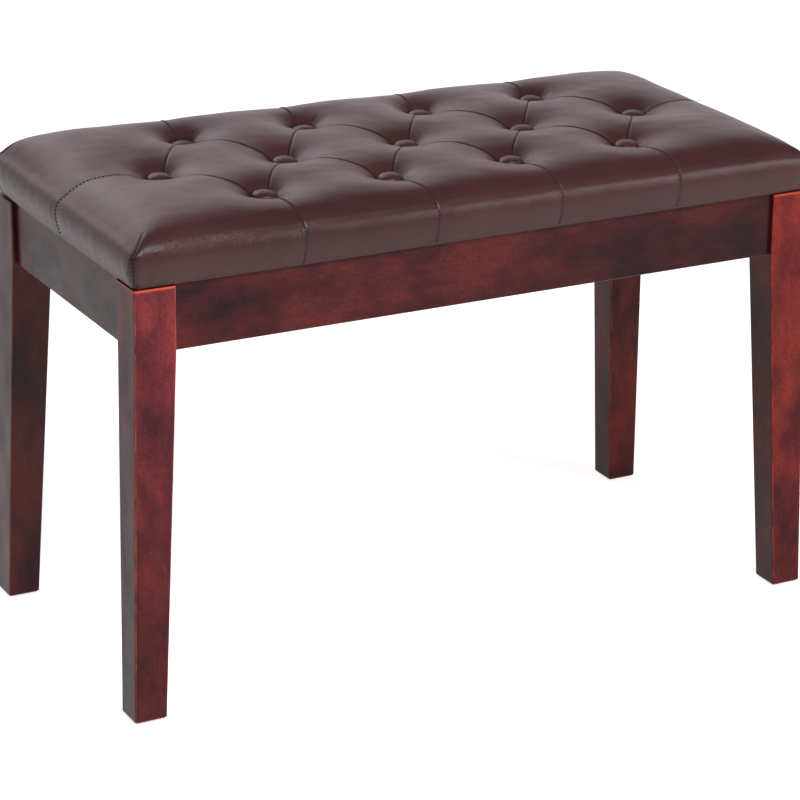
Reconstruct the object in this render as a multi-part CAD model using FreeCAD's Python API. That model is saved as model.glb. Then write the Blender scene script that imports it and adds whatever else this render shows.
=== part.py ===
import FreeCAD, Part
import math
import os

# Padded piano bench with a lift-up seat over a shallow music compartment.
# Millimetres. +X runs along the bench, -Y is the front, +Z is up, and the
# origin is on the floor under the middle of the seat.

Vector = FreeCAD.Vector
UP = Vector(0, 0, 1)
DOWN = Vector(0, 0, -1)

os.makedirs("parts", exist_ok=True)


# ---------------------------------------------------------------- dimensions

# Overall size, measured over the outer faces of the leg heads
BENCH_LENGTH = 760.0
BENCH_DEPTH = 360.0
FRAME_TOP = 443.0

# Legs: square heads, then shafts that taper and rake slightly outwards
LEG_TOP_WIDTH = 43.0
LEG_FOOT_WIDTH = 34.0
LEG_RAKE_X = 10.0
LEG_RAKE_Y = 7.0
LEG_ARRIS_RADIUS = 2.0
LEG_FOOT_BEVEL = 1.5

# Foot glides nailed into the end grain
GLIDE_RADIUS = 10.0
GLIDE_THICKNESS = 2.0
GLIDE_NAIL_RADIUS = 1.2
GLIDE_NAIL_LENGTH = 15.0

# Aprons
APRON_HEIGHT = 66.0
APRON_THICKNESS = 18.0
APRON_RECESS = 5.0
APRON_ARRIS_RADIUS = 1.2

# Dowels between aprons and legs
DOWEL_RADIUS = 4.0
DOWEL_LENGTH = 36.0
DOWEL_HEIGHTS = (396.0, 434.0)

# Compartment floor, let into grooves in the aprons
FLOOR_THICKNESS = 5.0
FLOOR_UNDERSIDE = 383.0
GROOVE_DEPTH = 5.0
FLOOR_LEG_CLEARANCE = 0.5

# Corner blocks and the hanger bolts that pull the legs in
BLOCK_THICKNESS = 20.0
BLOCK_LEG_GAP = 1.4
BLOCK_UNDERSIDE = 392.0
BLOCK_TOP = 438.0
BLOCK_SCREW_HEIGHTS = (403.0, 427.0)
BLOCK_SCREW_LENGTH = 22.0
BLOCK_UNDER_SCREW_HEAD = 10.0
BOLT_HEIGHT = 415.0
BOLT_RADIUS = 4.0
BOLT_LENGTH_IN_LEG = 30.0
BOLT_TAIL = 3.0
WASHER_RADIUS = 9.0
WASHER_THICKNESS = 1.6
NUT_ACROSS_FLATS = 13.0
NUT_HEIGHT = 6.5

# Countersunk screws
SCREW_HEAD_RADIUS = 3.2
SCREW_SHANK_RADIUS = 1.6
SCREW_HEAD_HEIGHT = 1.6
SCREW_TIP_LENGTH = 3.0
SCREW_TIP_RADIUS = 0.5
SCREW_RECESS_DEPTH = 0.8
SCREW_RECESS_WIDTH = 0.8
BLOCK_SCREW_HEAD_RADIUS = 4.0
BLOCK_SCREW_SHANK_RADIUS = 2.0

# Seat: felt pads, leather, board and foam stacked on the frame
FELT_THICKNESS = 2.3
FELT_RADIUS = 7.0
FELT_FROM_LEG_FACE = 24.0
LEATHER_THICKNESS = 1.2
BOARD_THICKNESS = 12.0
BOARD_MARGIN = 8.0
BOARD_CORNER_RADIUS = 10.0
CUSHION_INSET = 2.0
CUSHION_TOP = 504.0
CUSHION_CORNER_RADIUS = 18.0
CUSHION_EDGE_RADIUS = 14.0
LEATHER_TURN_UNDER = 56.0

# Tufting: three staggered rows of covered buttons
BUTTON_PITCH_X = 137.5
BUTTON_PITCH_Y = 98.0
BUTTON_RADIUS = 12.5
BUTTON_TOP = 493.0
BUTTON_DOME_RISE = 3.5
DIMPLE_FLOOR = 486.5
DIMPLE_RADIUS = 45.0
TWINE_RADIUS = 0.8
TWINE_HOLE_RADIUS = 1.5
TOGGLE_RADIUS = 6.0
TOGGLE_THICKNESS = 2.4
TOGGLE_POCKET_RADIUS = 7.0
TOGGLE_POCKET_DEPTH = 3.0

# Dust cover and the staples under the seat
DUST_COVER_THICKNESS = 0.6
DUST_COVER_HALF_X = 332.0
DUST_COVER_HALF_Y = 146.0
STAPLE_WIRE = 0.6
STAPLE_CROWN = 10.0
STAPLE_LEG = 8.0
STAPLES_PER_LONG_SIDE = 12
STAPLES_PER_SHORT_SIDE = 5
STAPLE_SPAN_X = 310.0
STAPLE_SPAN_Y = 120.0
LEATHER_STAPLE_X = 353.0
LEATHER_STAPLE_Y = 154.0
COVER_STAPLE_MARGIN = 4.0

# Butt hinges behind the back apron
HINGE_CENTRES_X = (-230.0, 230.0)
HINGE_LENGTH = 60.0
HINGE_LEAF_THICKNESS = 1.6
HINGE_KNUCKLES = 5
HINGE_KNUCKLE_RADIUS = 3.5
HINGE_PIN_RADIUS = 1.5
HINGE_RUNNING_GAP = 0.3
HINGE_LEAF_GAP = 0.4
HINGE_AXIS_BEHIND_LEGS = 3.5
HINGE_LEAF_FRONT = 158.5
HINGE_SCREW_OFFSETS = (-21.0, 0.0, 21.0)
HINGE_FRAME_SCREW_LENGTH = 16.0
HINGE_LID_SCREW_LENGTH = 11.0

# Folding stay: its four pivots form a parallelogram with the lid hinge
STAY_BASE_BACK = 120.0
STAY_BASE_DOWN = 37.0
STAY_LID_BACK = 135.0
STAY_LID_DOWN = 8.0
STAY_THICKNESS = 2.0
STAY_HALF_WIDTH = 7.0
STAY_GAP = 1.0
STAY_STUD_RADIUS = 3.0
STAY_ELBOW_RADIUS = 2.7
STAY_BORE_GAP = 0.5
STAY_HEAD_RADIUS = 5.0
STAY_HEAD_THICKNESS = 1.4
STAY_HEAD_GAP = 0.4
STAY_PLATE_HALF_LENGTH = 16.0
STAY_PLATE_HALF_HEIGHT = 9.0
STAY_SCREW_OFFSET = 10.5
STAY_SCREW_LENGTH = 14.0
STAY_FLANGE_WIDTH = 14.0
STAY_FLANGE_HALF_LENGTH = 18.0
STAY_TAB_HALF_LENGTH = 8.0


# ------------------------------------------------------- derived dimensions

HALF_LENGTH = BENCH_LENGTH / 2
HALF_DEPTH = BENCH_DEPTH / 2
LEG_INNER_X = HALF_LENGTH - LEG_TOP_WIDTH
LEG_INNER_Y = HALF_DEPTH - LEG_TOP_WIDTH
FOOT_OUTER_X = HALF_LENGTH + LEG_RAKE_X
FOOT_OUTER_Y = HALF_DEPTH + LEG_RAKE_Y

APRON_UNDERSIDE = FRAME_TOP - APRON_HEIGHT
APRON_OUTER_X = HALF_LENGTH - APRON_RECESS
APRON_OUTER_Y = HALF_DEPTH - APRON_RECESS
APRON_INNER_X = APRON_OUTER_X - APRON_THICKNESS
APRON_INNER_Y = APRON_OUTER_Y - APRON_THICKNESS

LEATHER_UNDERSIDE = FRAME_TOP + FELT_THICKNESS
BOARD_UNDERSIDE = LEATHER_UNDERSIDE + LEATHER_THICKNESS
BOARD_TOP = BOARD_UNDERSIDE + BOARD_THICKNESS
CUSHION_HALF_X = HALF_LENGTH - CUSHION_INSET
CUSHION_HALF_Y = HALF_DEPTH - CUSHION_INSET
DUST_COVER_UNDERSIDE = LEATHER_UNDERSIDE - DUST_COVER_THICKNESS

HINGE_AXIS_Y = HALF_DEPTH + HINGE_AXIS_BEHIND_LEGS
LID_LEAF_UNDERSIDE = LEATHER_UNDERSIDE - HINGE_LEAF_THICKNESS
HINGE_AXIS_Z = (FRAME_TOP + LID_LEAF_UNDERSIDE) / 2

STAY_BASE_PIVOT = (HINGE_AXIS_Y - STAY_BASE_BACK, HINGE_AXIS_Z - STAY_BASE_DOWN)
STAY_LID_PIVOT = (HINGE_AXIS_Y - STAY_LID_BACK, HINGE_AXIS_Z - STAY_LID_DOWN)
STAY_ELBOW = (
    STAY_BASE_PIVOT[0] - STAY_LID_BACK,
    STAY_BASE_PIVOT[1] - STAY_LID_DOWN,
)
STAY_PLATE_X = APRON_INNER_X - STAY_THICKNESS
LOWER_ARM_X = STAY_PLATE_X - STAY_GAP - STAY_THICKNESS
UPPER_ARM_X = LOWER_ARM_X - STAY_GAP - STAY_THICKNESS
LID_TAB_X = UPPER_ARM_X - STAY_GAP - STAY_THICKNESS

MIDDLE_ROW = [(column * BUTTON_PITCH_X, 0.0) for column in (-2, -1, 0, 1, 2)]
OUTER_ROWS = [
    (column * BUTTON_PITCH_X, row * BUTTON_PITCH_Y)
    for row in (-1, 1)
    for column in (-1.5, -0.5, 0.5, 1.5)
]
BUTTON_CENTRES = MIDDLE_ROW + OUTER_ROWS

CORNERS = {
    "front_left": (-1, -1),
    "front_right": (1, -1),
    "back_left": (-1, 1),
    "back_right": (1, 1),
}


# ------------------------------------------------------------ shape helpers

def save(node, *solids):
    """Write one node; several solids stay separate inside it."""
    shape = solids[0] if len(solids) == 1 else Part.makeCompound(solids)
    shape.exportStep("parts/" + node + ".step")


def box(x0, x1, y0, y1, z0, z1):
    """Box between two corners given in any order."""
    corner = Vector(min(x0, x1), min(y0, y1), min(z0, z1))
    return Part.makeBox(abs(x1 - x0), abs(y1 - y0), abs(z1 - z0), corner)


def cylinder(start, direction, radius, length):
    return Part.makeCylinder(radius, length, start, direction)


def rounded_rectangle(x0, x1, y0, y1, radius, z):
    """Closed outline with four rounded corners at height z."""
    centres = (
        (x1 - radius, y1 - radius),
        (x0 + radius, y1 - radius),
        (x0 + radius, y0 + radius),
        (x1 - radius, y0 + radius),
    )
    arcs = []
    for quarter, (x, y) in enumerate(centres):
        start = 90 * quarter
        arcs.append(Part.makeCircle(radius, Vector(x, y, z), UP, start, start + 90))
    edges = []
    for quarter, arc in enumerate(arcs):
        following = arcs[(quarter + 1) % 4]
        edges.append(arc)
        edges.append(Part.makeLine(arc.Vertexes[-1].Point, following.Vertexes[0].Point))
    return Part.Wire(edges)


def rounded_plate(half_x, half_y, radius, z0, z1):
    """Flat plate about the middle of the bench with rounded corners."""
    outline = rounded_rectangle(-half_x, half_x, -half_y, half_y, radius, z0)
    return Part.Face(outline).extrude(Vector(0, 0, z1 - z0))


def rounded_block(half_x, half_y, corner_radius, edge_radius, z0, z1):
    """Plate whose upper rim is rolled over."""
    plate = rounded_plate(half_x, half_y, corner_radius, z0, z1)
    rim = [edge for edge in plate.Edges if edge.BoundBox.ZMin > z1 - 0.01]
    return plate.makeFillet(edge_radius, rim)


def prism(points, z0, z1):
    """Upright prism over a closed outline of (x, y) points."""
    corners = [Vector(x, y, z0) for x, y in points]
    outline = Part.makePolygon(corners + corners[:1])
    return Part.Face(outline).extrude(Vector(0, 0, z1 - z0))


def countersunk_screw(point, direction, length, head_radius, shank_radius):
    """A screw driven from point along direction, and the hole it fills."""
    head = Part.makeCone(head_radius, shank_radius, SCREW_HEAD_HEIGHT)
    shank_length = length - SCREW_HEAD_HEIGHT - SCREW_TIP_LENGTH
    shank = cylinder(Vector(0, 0, SCREW_HEAD_HEIGHT), UP, shank_radius, shank_length)
    tip_start = Vector(0, 0, length - SCREW_TIP_LENGTH)
    tip = Part.makeCone(shank_radius, SCREW_TIP_RADIUS, SCREW_TIP_LENGTH, tip_start)
    hole = head.fuse([shank, tip]).removeSplitter()
    arm = head_radius * 0.6
    half = SCREW_RECESS_WIDTH / 2
    recess = box(-arm, arm, -half, half, 0, SCREW_RECESS_DEPTH)
    recess = recess.fuse(box(-half, half, -arm, arm, 0, SCREW_RECESS_DEPTH))
    screw = hole.cut(recess)
    placement = FreeCAD.Placement(point, FreeCAD.Rotation(UP, direction))
    for shape in (screw, hole):
        shape.Placement = placement
    return screw, hole


# ---------------------------------------------------------------- the frame

def leg_outline(side_x, side_y, width, outer_x, outer_y, shrink, z):
    """Square leg section inside the given outer planes, shrunk all round."""
    xs = sorted((side_x * (outer_x - shrink), side_x * (outer_x - width + shrink)))
    ys = sorted((side_y * (outer_y - shrink), side_y * (outer_y - width + shrink)))
    return rounded_rectangle(xs[0], xs[1], ys[0], ys[1], LEG_ARRIS_RADIUS, z)


def leg_blank(side_x, side_y):
    """Square head above a shaft that tapers and rakes down to the foot."""
    foot_size = (LEG_FOOT_WIDTH, FOOT_OUTER_X, FOOT_OUTER_Y)
    head_size = (LEG_TOP_WIDTH, HALF_LENGTH, HALF_DEPTH)
    outlines = (
        leg_outline(side_x, side_y, *foot_size, LEG_FOOT_BEVEL, GLIDE_THICKNESS),
        leg_outline(side_x, side_y, *foot_size, 0, GLIDE_THICKNESS + LEG_FOOT_BEVEL),
        leg_outline(side_x, side_y, *head_size, 0, APRON_UNDERSIDE),
        leg_outline(side_x, side_y, *head_size, 0, FRAME_TOP),
    )
    stages = [
        Part.makeLoft([lower, upper], True, True)
        for lower, upper in zip(outlines, outlines[1:])
    ]
    return stages[0].fuse(stages[1:]).removeSplitter()


def foot_glide(side_x, side_y):
    """Nylon disc with its nail, under the middle of one foot."""
    x = side_x * (FOOT_OUTER_X - LEG_FOOT_WIDTH / 2)
    y = side_y * (FOOT_OUTER_Y - LEG_FOOT_WIDTH / 2)
    disc = cylinder(Vector(x, y, 0), UP, GLIDE_RADIUS, GLIDE_THICKNESS)
    start = Vector(x, y, GLIDE_THICKNESS)
    nail = cylinder(start, UP, GLIDE_NAIL_RADIUS, GLIDE_NAIL_LENGTH)
    return disc.fuse(nail)


def apron_blank(x0, x1, y0, y1):
    """Apron board with its four long arrises eased."""
    board = box(x0, x1, y0, y1, APRON_UNDERSIDE, FRAME_TOP)
    length = max(abs(x1 - x0), abs(y1 - y0))
    long_edges = [edge for edge in board.Edges if abs(edge.Length - length) < 0.01]
    return board.makeFillet(APRON_ARRIS_RADIUS, long_edges)


def apron_dowels():
    """Two dowels in each of the eight apron joints."""
    long_apron_y = (APRON_INNER_Y + APRON_OUTER_Y) / 2
    end_apron_x = (APRON_INNER_X + APRON_OUTER_X) / 2
    half = DOWEL_LENGTH / 2
    dowels = []
    for side_x, side_y in CORNERS.values():
        for z in DOWEL_HEIGHTS:
            start = Vector(side_x * (LEG_INNER_X - half), side_y * long_apron_y, z)
            dowels.append(cylinder(start, Vector(side_x, 0, 0), DOWEL_RADIUS, DOWEL_LENGTH))
            start = Vector(side_x * end_apron_x, side_y * (LEG_INNER_Y - half), z)
            dowels.append(cylinder(start, Vector(0, side_y, 0), DOWEL_RADIUS, DOWEL_LENGTH))
    return dowels


def storage_floor():
    """Thin panel that reaches into the grooves and clears the legs."""
    reach_x = APRON_INNER_X + GROOVE_DEPTH
    reach_y = APRON_INNER_Y + GROOVE_DEPTH
    top = FLOOR_UNDERSIDE + FLOOR_THICKNESS
    panel = box(-reach_x, reach_x, -reach_y, reach_y, FLOOR_UNDERSIDE, top)
    notches = [
        box(
            side_x * (LEG_INNER_X - FLOOR_LEG_CLEARANCE), side_x * reach_x,
            side_y * (LEG_INNER_Y - FLOOR_LEG_CLEARANCE), side_y * reach_y,
            FLOOR_UNDERSIDE, top,
        )
        for side_x, side_y in CORNERS.values()
    ]
    return panel.cut(notches)


def corner_block(side_x, side_y):
    """Diagonal block across a corner, its mitred ends on the aprons."""
    outer_sum = LEG_INNER_X + LEG_INNER_Y - BLOCK_LEG_GAP * math.sqrt(2)
    inner_sum = outer_sum - BLOCK_THICKNESS * math.sqrt(2)
    points = (
        (APRON_INNER_X, inner_sum - APRON_INNER_X),
        (APRON_INNER_X, outer_sum - APRON_INNER_X),
        (outer_sum - APRON_INNER_Y, APRON_INNER_Y),
        (inner_sum - APRON_INNER_Y, APRON_INNER_Y),
    )
    placed = [(side_x * x, side_y * y) for x, y in points]
    return prism(placed, BLOCK_UNDERSIDE, BLOCK_TOP)


def corner_block_screws(side_x, side_y):
    """Screws from one corner block into its two aprons, with their holes."""
    mitre_offset = (BLOCK_LEG_GAP + BLOCK_THICKNESS / 2) * math.sqrt(2)
    middle_sum = LEG_INNER_X + LEG_INNER_Y - mitre_offset
    head_x = APRON_INNER_X - BLOCK_UNDER_SCREW_HEAD
    head_y = APRON_INNER_Y - BLOCK_UNDER_SCREW_HEAD
    places = (
        (head_x, middle_sum - APRON_INNER_X, Vector(side_x, 0, 0)),
        (middle_sum - APRON_INNER_Y, head_y, Vector(0, side_y, 0)),
    )
    screws = []
    holes = []
    for x, y, direction in places:
        for z in BLOCK_SCREW_HEIGHTS:
            point = Vector(side_x * x, side_y * y, z)
            screw, hole = countersunk_screw(
                point, direction, BLOCK_SCREW_LENGTH,
                BLOCK_SCREW_HEAD_RADIUS, BLOCK_SCREW_SHANK_RADIUS,
            )
            access = cylinder(point, direction * -1, BLOCK_SCREW_HEAD_RADIUS, BLOCK_THICKNESS)
            screws.append(screw)
            holes.append(hole)
            holes.append(access)
    return screws, holes


def hanger_fixing(side_x, side_y):
    """Hanger bolt, washer and nut along the diagonal of one corner."""
    leg_corner = Vector(side_x * LEG_INNER_X, side_y * LEG_INNER_Y, BOLT_HEIGHT)
    outward = Vector(side_x, side_y, 0).normalize()
    inward = outward * -1
    block_face = BLOCK_LEG_GAP + BLOCK_THICKNESS
    tail = block_face + WASHER_THICKNESS + NUT_HEIGHT + BOLT_TAIL
    start = leg_corner + inward * tail
    bolt = cylinder(start, outward, BOLT_RADIUS, tail + BOLT_LENGTH_IN_LEG)

    washer_start = leg_corner + inward * block_face
    washer = cylinder(washer_start, inward, WASHER_RADIUS, WASHER_THICKNESS).cut(bolt)

    nut_radius = NUT_ACROSS_FLATS / math.sqrt(3)
    corners = []
    for corner in range(7):
        angle = math.radians(60 * corner)
        corners.append(Vector(nut_radius * math.cos(angle), nut_radius * math.sin(angle), 0))
    nut = Part.Face(Part.makePolygon(corners)).extrude(Vector(0, 0, NUT_HEIGHT))
    nut_start = washer_start + inward * WASHER_THICKNESS
    nut.Placement = FreeCAD.Placement(nut_start, FreeCAD.Rotation(UP, inward))
    return bolt, washer, nut.cut(bolt)


# ----------------------------------------------------------------- the seat

def button_axis(x, y, radius, z0, z1):
    return cylinder(Vector(x, y, z0), UP, radius, z1 - z0)


def dimple(x, y, radius):
    """Ball that presses a dimple of the given radius under one button."""
    return Part.makeSphere(radius, Vector(x, y, DIMPLE_FLOOR + DIMPLE_RADIUS))


def cushion_blank(skin):
    """The cushion's outer form, or the same form a skin's depth inside it."""
    block = rounded_block(
        CUSHION_HALF_X - skin, CUSHION_HALF_Y - skin,
        CUSHION_CORNER_RADIUS - skin, CUSHION_EDGE_RADIUS - skin,
        LEATHER_UNDERSIDE + skin, CUSHION_TOP - skin,
    )
    return block.cut([dimple(x, y, DIMPLE_RADIUS + skin) for x, y in BUTTON_CENTRES])


def tufting_button(x, y):
    """Covered button: a domed top over a foot that fits the dimple."""
    dome_radius = (BUTTON_RADIUS ** 2 + BUTTON_DOME_RISE ** 2) / (2 * BUTTON_DOME_RISE)
    dome = Part.makeSphere(dome_radius, Vector(x, y, BUTTON_TOP - dome_radius))
    body = button_axis(x, y, BUTTON_RADIUS, DIMPLE_FLOOR - 1, BUTTON_TOP + 1)
    return body.common(dome).common(dimple(x, y, DIMPLE_RADIUS))


def evenly_spaced(half_span, count):
    step = 2 * half_span / (count - 1)
    return [-half_span + step * place for place in range(count)]


def staple(x, y, z_top, along_x):
    """One staple whose crown presses on a surface at z_top."""
    half_wire = STAPLE_WIRE / 2
    half_crown = STAPLE_CROWN / 2
    reach = (half_crown, half_wire) if along_x else (half_wire, half_crown)
    crown = box(
        x - reach[0], x + reach[0], y - reach[1], y + reach[1],
        z_top - STAPLE_WIRE, z_top,
    )
    legs = []
    for side in (-1, 1):
        offset = side * (half_crown - half_wire)
        leg_x = x + (offset if along_x else 0)
        leg_y = y + (0 if along_x else offset)
        legs.append(box(
            leg_x - half_wire, leg_x + half_wire, leg_y - half_wire, leg_y + half_wire,
            z_top, z_top + STAPLE_LEG,
        ))
    return crown.fuse(legs), legs


def staple_ring(half_x, half_y, z_top):
    """Staples round a rectangle: the finished staples and their legs."""
    staples = []
    legs = []
    places = []
    for side in (-1, 1):
        for x in evenly_spaced(STAPLE_SPAN_X, STAPLES_PER_LONG_SIDE):
            places.append((x, side * half_y, True))
        for y in evenly_spaced(STAPLE_SPAN_Y, STAPLES_PER_SHORT_SIDE):
            places.append((side * half_x, y, False))
    for x, y, along_x in places:
        shape, shape_legs = staple(x, y, z_top, along_x)
        staples.append(shape)
        legs.extend(shape_legs)
    return staples, legs


# --------------------------------------------------------------- the hinges

def hinge_axis_cylinder(x0, x1, radius):
    start = Vector(x0, HINGE_AXIS_Y, HINGE_AXIS_Z)
    return cylinder(start, Vector(1, 0, 0), radius, x1 - x0)


def hinge_leaf(centre_x, knuckles, z0, bore_radius):
    """Leaf with the chosen knuckles rolled on its back edge."""
    z1 = z0 + HINGE_LEAF_THICKNESS
    start_x = centre_x - HINGE_LENGTH / 2
    plate_back = HINGE_AXIS_Y - HINGE_KNUCKLE_RADIUS - HINGE_LEAF_GAP
    plate = box(start_x, start_x + HINGE_LENGTH, HINGE_LEAF_FRONT, plate_back, z0, z1)
    pitch = HINGE_LENGTH / HINGE_KNUCKLES
    additions = []
    for knuckle in knuckles:
        x0 = start_x + knuckle * pitch + HINGE_RUNNING_GAP / 2
        x1 = x0 + pitch - HINGE_RUNNING_GAP
        additions.append(hinge_axis_cylinder(x0, x1, HINGE_KNUCKLE_RADIUS))
        additions.append(box(x0, x1, plate_back, HINGE_AXIS_Y, z0, z1))
    bore = hinge_axis_cylinder(start_x, start_x + HINGE_LENGTH, bore_radius)
    return plate.fuse(additions).cut(bore).removeSplitter()


def hinge_screws(centre_x, z, direction, length):
    """Three screws through one leaf, with their holes."""
    y = (APRON_INNER_Y + APRON_OUTER_Y) / 2
    pairs = [
        countersunk_screw(
            Vector(centre_x + offset, y, z), direction, length,
            SCREW_HEAD_RADIUS, SCREW_SHANK_RADIUS,
        )
        for offset in HINGE_SCREW_OFFSETS
    ]
    return [pair[0] for pair in pairs], [pair[1] for pair in pairs]


# ------------------------------------------------------------- the lid stay

def stay_cylinder(pivot, x0, x1, radius):
    """Cylinder along X about a (y, z) pivot."""
    start = Vector(min(x0, x1), pivot[0], pivot[1])
    return cylinder(start, Vector(1, 0, 0), radius, abs(x1 - x0))


def stay_arm(x0, first, second, first_bore, second_bore):
    """Flat arm with round ends between two (y, z) pivots."""
    x1 = x0 + STAY_THICKNESS
    run = Vector(0, second[0] - first[0], second[1] - first[1])
    across = Vector(0, -run.z, run.y).normalize() * STAY_HALF_WIDTH
    start = Vector(x0, first[0], first[1])
    corners = [start + across, start + run + across, start + run - across, start - across]
    bar = Part.Face(Part.makePolygon(corners + corners[:1])).extrude(
        Vector(STAY_THICKNESS, 0, 0)
    )
    ends = [stay_cylinder(pivot, x0, x1, STAY_HALF_WIDTH) for pivot in (first, second)]
    bores = [
        stay_cylinder(first, x0, x1, first_bore),
        stay_cylinder(second, x0, x1, second_bore),
    ]
    return bar.fuse(ends).removeSplitter().cut(bores)


def stay_stud(pivot, root_x, arm_far_x, toward):
    """Stud from a bracket face through an arm, with its riveted head."""
    head_x = arm_far_x + toward * STAY_HEAD_GAP
    shank = stay_cylinder(pivot, root_x, head_x, STAY_STUD_RADIUS)
    head_end = head_x + toward * STAY_HEAD_THICKNESS
    return shank.fuse(stay_cylinder(pivot, head_x, head_end, STAY_HEAD_RADIUS))


def stay_base_bracket():
    """Plate on the right-hand apron carrying the lower arm's stud."""
    y, z = STAY_BASE_PIVOT
    plate = box(
        STAY_PLATE_X, APRON_INNER_X,
        y - STAY_PLATE_HALF_LENGTH, y + STAY_PLATE_HALF_LENGTH,
        z - STAY_PLATE_HALF_HEIGHT, z + STAY_PLATE_HALF_HEIGHT,
    )
    stud = stay_stud(STAY_BASE_PIVOT, STAY_PLATE_X, LOWER_ARM_X, -1)
    return plate.fuse(stud).removeSplitter()


def stay_lid_bracket():
    """Angle under the seat board carrying the upper arm's stud."""
    y, z = STAY_LID_PIVOT
    outer_x = LID_TAB_X + STAY_THICKNESS
    flange = box(
        outer_x - STAY_FLANGE_WIDTH, outer_x,
        y - STAY_FLANGE_HALF_LENGTH, y + STAY_FLANGE_HALF_LENGTH,
        LEATHER_UNDERSIDE - HINGE_LEAF_THICKNESS, LEATHER_UNDERSIDE,
    )
    tab = box(
        LID_TAB_X, outer_x, y - STAY_TAB_HALF_LENGTH, y + STAY_TAB_HALF_LENGTH,
        z, LEATHER_UNDERSIDE,
    )
    tab_end = stay_cylinder(STAY_LID_PIVOT, LID_TAB_X, outer_x, STAY_TAB_HALF_LENGTH)
    stud = stay_stud(STAY_LID_PIVOT, outer_x, UPPER_ARM_X + STAY_THICKNESS, 1)
    return flange.fuse([tab, tab_end, stud]).removeSplitter()


def stay_elbow_rivet():
    """Rivet fixed in the lower arm; the upper arm turns on it."""
    near_x = UPPER_ARM_X - STAY_HEAD_GAP
    far_x = LOWER_ARM_X + STAY_THICKNESS
    shank = stay_cylinder(STAY_ELBOW, near_x, far_x, STAY_ELBOW_RADIUS)
    near_head = stay_cylinder(
        STAY_ELBOW, near_x - STAY_HEAD_THICKNESS, near_x, STAY_HEAD_RADIUS
    )
    far_head = stay_cylinder(
        STAY_ELBOW, far_x, far_x + STAY_HEAD_THICKNESS, STAY_HEAD_RADIUS
    )
    return shank.fuse([near_head, far_head]).removeSplitter()


def bracket_screws(places, direction, length):
    """Screws through a stay bracket, with their holes."""
    pairs = [
        countersunk_screw(place, direction, length, SCREW_HEAD_RADIUS, SCREW_SHANK_RADIUS)
        for place in places
    ]
    return [pair[0] for pair in pairs], [pair[1] for pair in pairs]


# ------------------------------------------------------- build the fasteners

dowels = apron_dowels()
glides = {name: foot_glide(*sides) for name, sides in CORNERS.items()}
hangers = {name: hanger_fixing(*sides) for name, sides in CORNERS.items()}
block_screws = {name: corner_block_screws(*sides) for name, sides in CORNERS.items()}
block_screw_holes = [hole for _, holes in block_screws.values() for hole in holes]

frame_leaf_z = FRAME_TOP - HINGE_LEAF_THICKNESS
frame_hinge_screws = []
frame_hinge_holes = []
lid_hinge_screws = []
lid_hinge_holes = []
for centre in HINGE_CENTRES_X:
    screws, holes = hinge_screws(centre, FRAME_TOP, DOWN, HINGE_FRAME_SCREW_LENGTH)
    frame_hinge_screws.extend(screws)
    frame_hinge_holes.extend(holes)
    screws, holes = hinge_screws(centre, LID_LEAF_UNDERSIDE, UP, HINGE_LID_SCREW_LENGTH)
    lid_hinge_screws.extend(screws)
    lid_hinge_holes.extend(holes)

base_stay_screws, base_stay_holes = bracket_screws(
    [
        Vector(STAY_PLATE_X, STAY_BASE_PIVOT[0] + side * STAY_SCREW_OFFSET, STAY_BASE_PIVOT[1])
        for side in (-1, 1)
    ],
    Vector(1, 0, 0), STAY_SCREW_LENGTH,
)
flange_screw_x = LID_TAB_X + STAY_THICKNESS - STAY_FLANGE_WIDTH / 2 - 1
lid_stay_screws, lid_stay_holes = bracket_screws(
    [
        Vector(flange_screw_x, STAY_LID_PIVOT[0] + side * STAY_SCREW_OFFSET, LID_LEAF_UNDERSIDE)
        for side in (-1, 1)
    ],
    UP, HINGE_LID_SCREW_LENGTH,
)


# ----------------------------------------------------------- write the frame

for name, (side_x, side_y) in CORNERS.items():
    leg = leg_blank(side_x, side_y).cut(dowels + [glides[name], hangers[name][0]])
    save(name + "_leg", leg)
    block = corner_block(side_x, side_y).cut([hangers[name][0]] + block_screws[name][1])
    save(name + "_corner_block", block)

floor_panel = storage_floor()
save("storage_floor", floor_panel)

frame_leaves = [
    hinge_leaf(centre, (0, 2, 4), frame_leaf_z, HINGE_PIN_RADIUS)
    for centre in HINGE_CENTRES_X
]
apron_cutters = [floor_panel] + dowels + block_screw_holes
front_apron = apron_blank(-LEG_INNER_X, LEG_INNER_X, -APRON_OUTER_Y, -APRON_INNER_Y)
save("front_apron", front_apron.cut(apron_cutters))
back_apron = apron_blank(-LEG_INNER_X, LEG_INNER_X, APRON_INNER_Y, APRON_OUTER_Y)
save("back_apron", back_apron.cut(apron_cutters + frame_leaves + frame_hinge_holes))
left_apron = apron_blank(-APRON_OUTER_X, -APRON_INNER_X, -LEG_INNER_Y, LEG_INNER_Y)
save("left_apron", left_apron.cut(apron_cutters))
right_apron = apron_blank(APRON_INNER_X, APRON_OUTER_X, -LEG_INNER_Y, LEG_INNER_Y)
save("right_apron", right_apron.cut(apron_cutters + base_stay_holes))

save("apron_dowels", *dowels)
save("corner_block_screws", *[screw for screws, _ in block_screws.values() for screw in screws])
save("hanger_bolts", *[fixing[0] for fixing in hangers.values()])
save("hanger_washers", *[fixing[1] for fixing in hangers.values()])
save("hanger_nuts", *[fixing[2] for fixing in hangers.values()])
save("foot_glides", *glides.values())

save("hinge_frame_leaves", *[leaf.cut(frame_hinge_holes) for leaf in frame_leaves])
save("hinge_frame_screws", *frame_hinge_screws)
save("hinge_pins", *[
    hinge_axis_cylinder(centre - HINGE_LENGTH / 2, centre + HINGE_LENGTH / 2, HINGE_PIN_RADIUS)
    for centre in HINGE_CENTRES_X
])
save("stay_base_bracket", stay_base_bracket().cut(base_stay_holes))
save("stay_base_screws", *base_stay_screws)


# ------------------------------------------------------------ write the seat

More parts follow.
